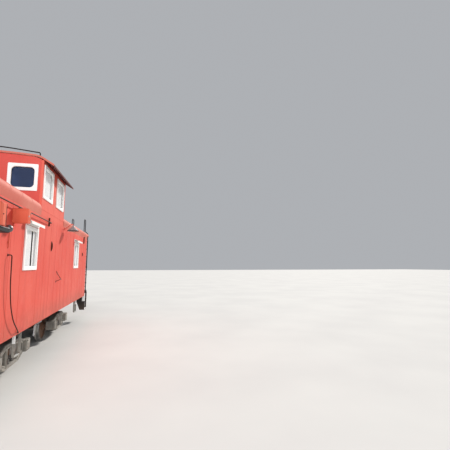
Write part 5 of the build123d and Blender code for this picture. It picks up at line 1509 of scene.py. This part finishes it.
    # wheelsets
    for w, k in (("outer", 1), ("inner", -1)):
        x = cx + e * k * WHEELBASE / 2
        g = Geo()
        T = at((x, 0, AXLE_Z), (0, 1, 0))
        for s in (-1, 1):
            half = [(0.0805, 0.0), (0.0805, 0.560), (0.0825, 0.610), (0.0830, 0.638), (0.116, 0.6400), (0.120, 0.644), (0.120, 0.722),
                    (0.126, 0.732), (0.140, 0.7345), (0.200, 0.735), (0.270, 0.732), (0.325, 0.7275), (0.345, 0.722), (0.354, 0.710), (0.3585, 0.690), (0.362, 0.682), (0.368, 0.680),
                    (0.400, 0.680), (0.430, 0.680), (0.4360, 0.6806), (0.4410, 0.6835), (0.4438, 0.6885), (0.4438, 0.6960), (0.4412, 0.7020), (0.4350, 0.7080), (0.4275, 0.7140), (0.4230, 0.7220), (0.4210, 0.732),
                    (0.4195, 0.760), (0.4170, 0.790), (0.4155, 0.804), (0.4130, 0.8095), (0.4070, 0.8120), (0.380, 0.8145), (0.366, 0.8148), (0.3605, 0.812), (0.357, 0.800), (0.353, 0.784), (0.345, 0.7745), (0.325, 0.7705),
                    (0.270, 0.7690), (0.200, 0.7685), (0.140, 0.7690), (0.126, 0.772), (0.120, 0.782), (0.120, 0.830), (0.1165, 0.8345), (0.078, 0.8350), (0.0750, 0.838), (0.0750, 0.866), (0.072, 0.8705), (0.0605, 0.882), (0.0595, 0.888), (0.0595, 1.050)]
            mats = [2 if 0.700 <= (p[1] + q[1]) / 2 <= 0.806 and min(p[0], q[0]) > 0.410 else (1 if min(p[0], q[0]) > 0.355 and (p[1] + q[1]) / 2 > 0.67 else 0) for p, q in zip(half, half[1:])]
            loops = [[(r * math.cos(2 * math.pi * j / 80), r * math.sin(2 * math.pi * j / 80), s * y) for j in range(80)] for r, y in half]
            for i in range(len(half) - 1):
                g.skin(loops[i:i + 2], mats[i], T)
            g.add([(0.0595 * math.cos(2 * math.pi * j / 80), 0.0595 * math.sin(2 * math.pi * j / 80), s * 1.050) for j in range(80)], [list(range(80))], 0, T)
            # ring of shallow ribs on the hub
            for q in range(3):
                a = 2 * math.pi * q / 3
                g.ball(T @ Vector((0.098 * math.cos(a), 0.098 * math.sin(a), s * 0.8345)), 0.007, 0, 10, 6)
        piece("wheels_%s_%s" % (tag, w), g, ["rust", "cast_dark", "tread"], body="axle_%s_%s" % (tag, w),
              replaces=("wheelset_%s_%s" % (tag, w),), sharp=42, close=1e-5)

# ================================================================== floor, light
def floor_material():
    m = Mat("pale_floor", (0.64, 0.63, 0.61), 0.9, Specular_IOR_Level=0.05)
    a = m.noise(0.35, 3.0)
    m.color(m.mix(m.fit(a, 0.35, 0.65), (0.65, 0.64, 0.62), (0.61, 0.60, 0.585)))
    m.bump(m.math("MULTIPLY", m.noise(60.0, 3.0), 0.0004))
    return m


me = bpy.data.meshes.new("floor")
R = 160.0
me.from_pydata([(-R, -R, 0), (R, -R, 0), (R, R, 0), (-R, R, 0)], [], [(0, 1, 2, 3)])
me.materials.append(floor_material().m)
floor = bpy.data.objects.new("floor", me)
bpy.context.scene.collection.objects.link(floor)

world = bpy.data.worlds.new("studio")
bpy.context.scene.world = world
world.use_nodes = True
bg = world.node_tree.nodes["Background"]
bg.inputs["Color"].default_value = (0.92, 0.95, 1.0, 1)
bg.inputs["Strength"].default_value = 0.46


def sun(name, direction, energy, angle, color):
    d = bpy.data.lights.new(name, "SUN")
    d.energy, d.angle, d.color = energy, math.radians(angle), color
    o = bpy.data.objects.new(name, d)
    o.rotation_euler = Vector(direction).to_track_quat("-Z", "Y").to_euler()
    bpy.context.scene.collection.objects.link(o)
    return o


sun("key", (-0.72, 0.47, -0.51), 4.0, 4.0, (1.0, 0.965, 0.91))
sun("near_end", (0.95, 0.05, -0.30), 2.5, 45.0, (0.97, 0.98, 1.0))

bpy.context.scene.view_settings.view_transform = "Standard"
bpy.context.scene.view_settings.look = "None"
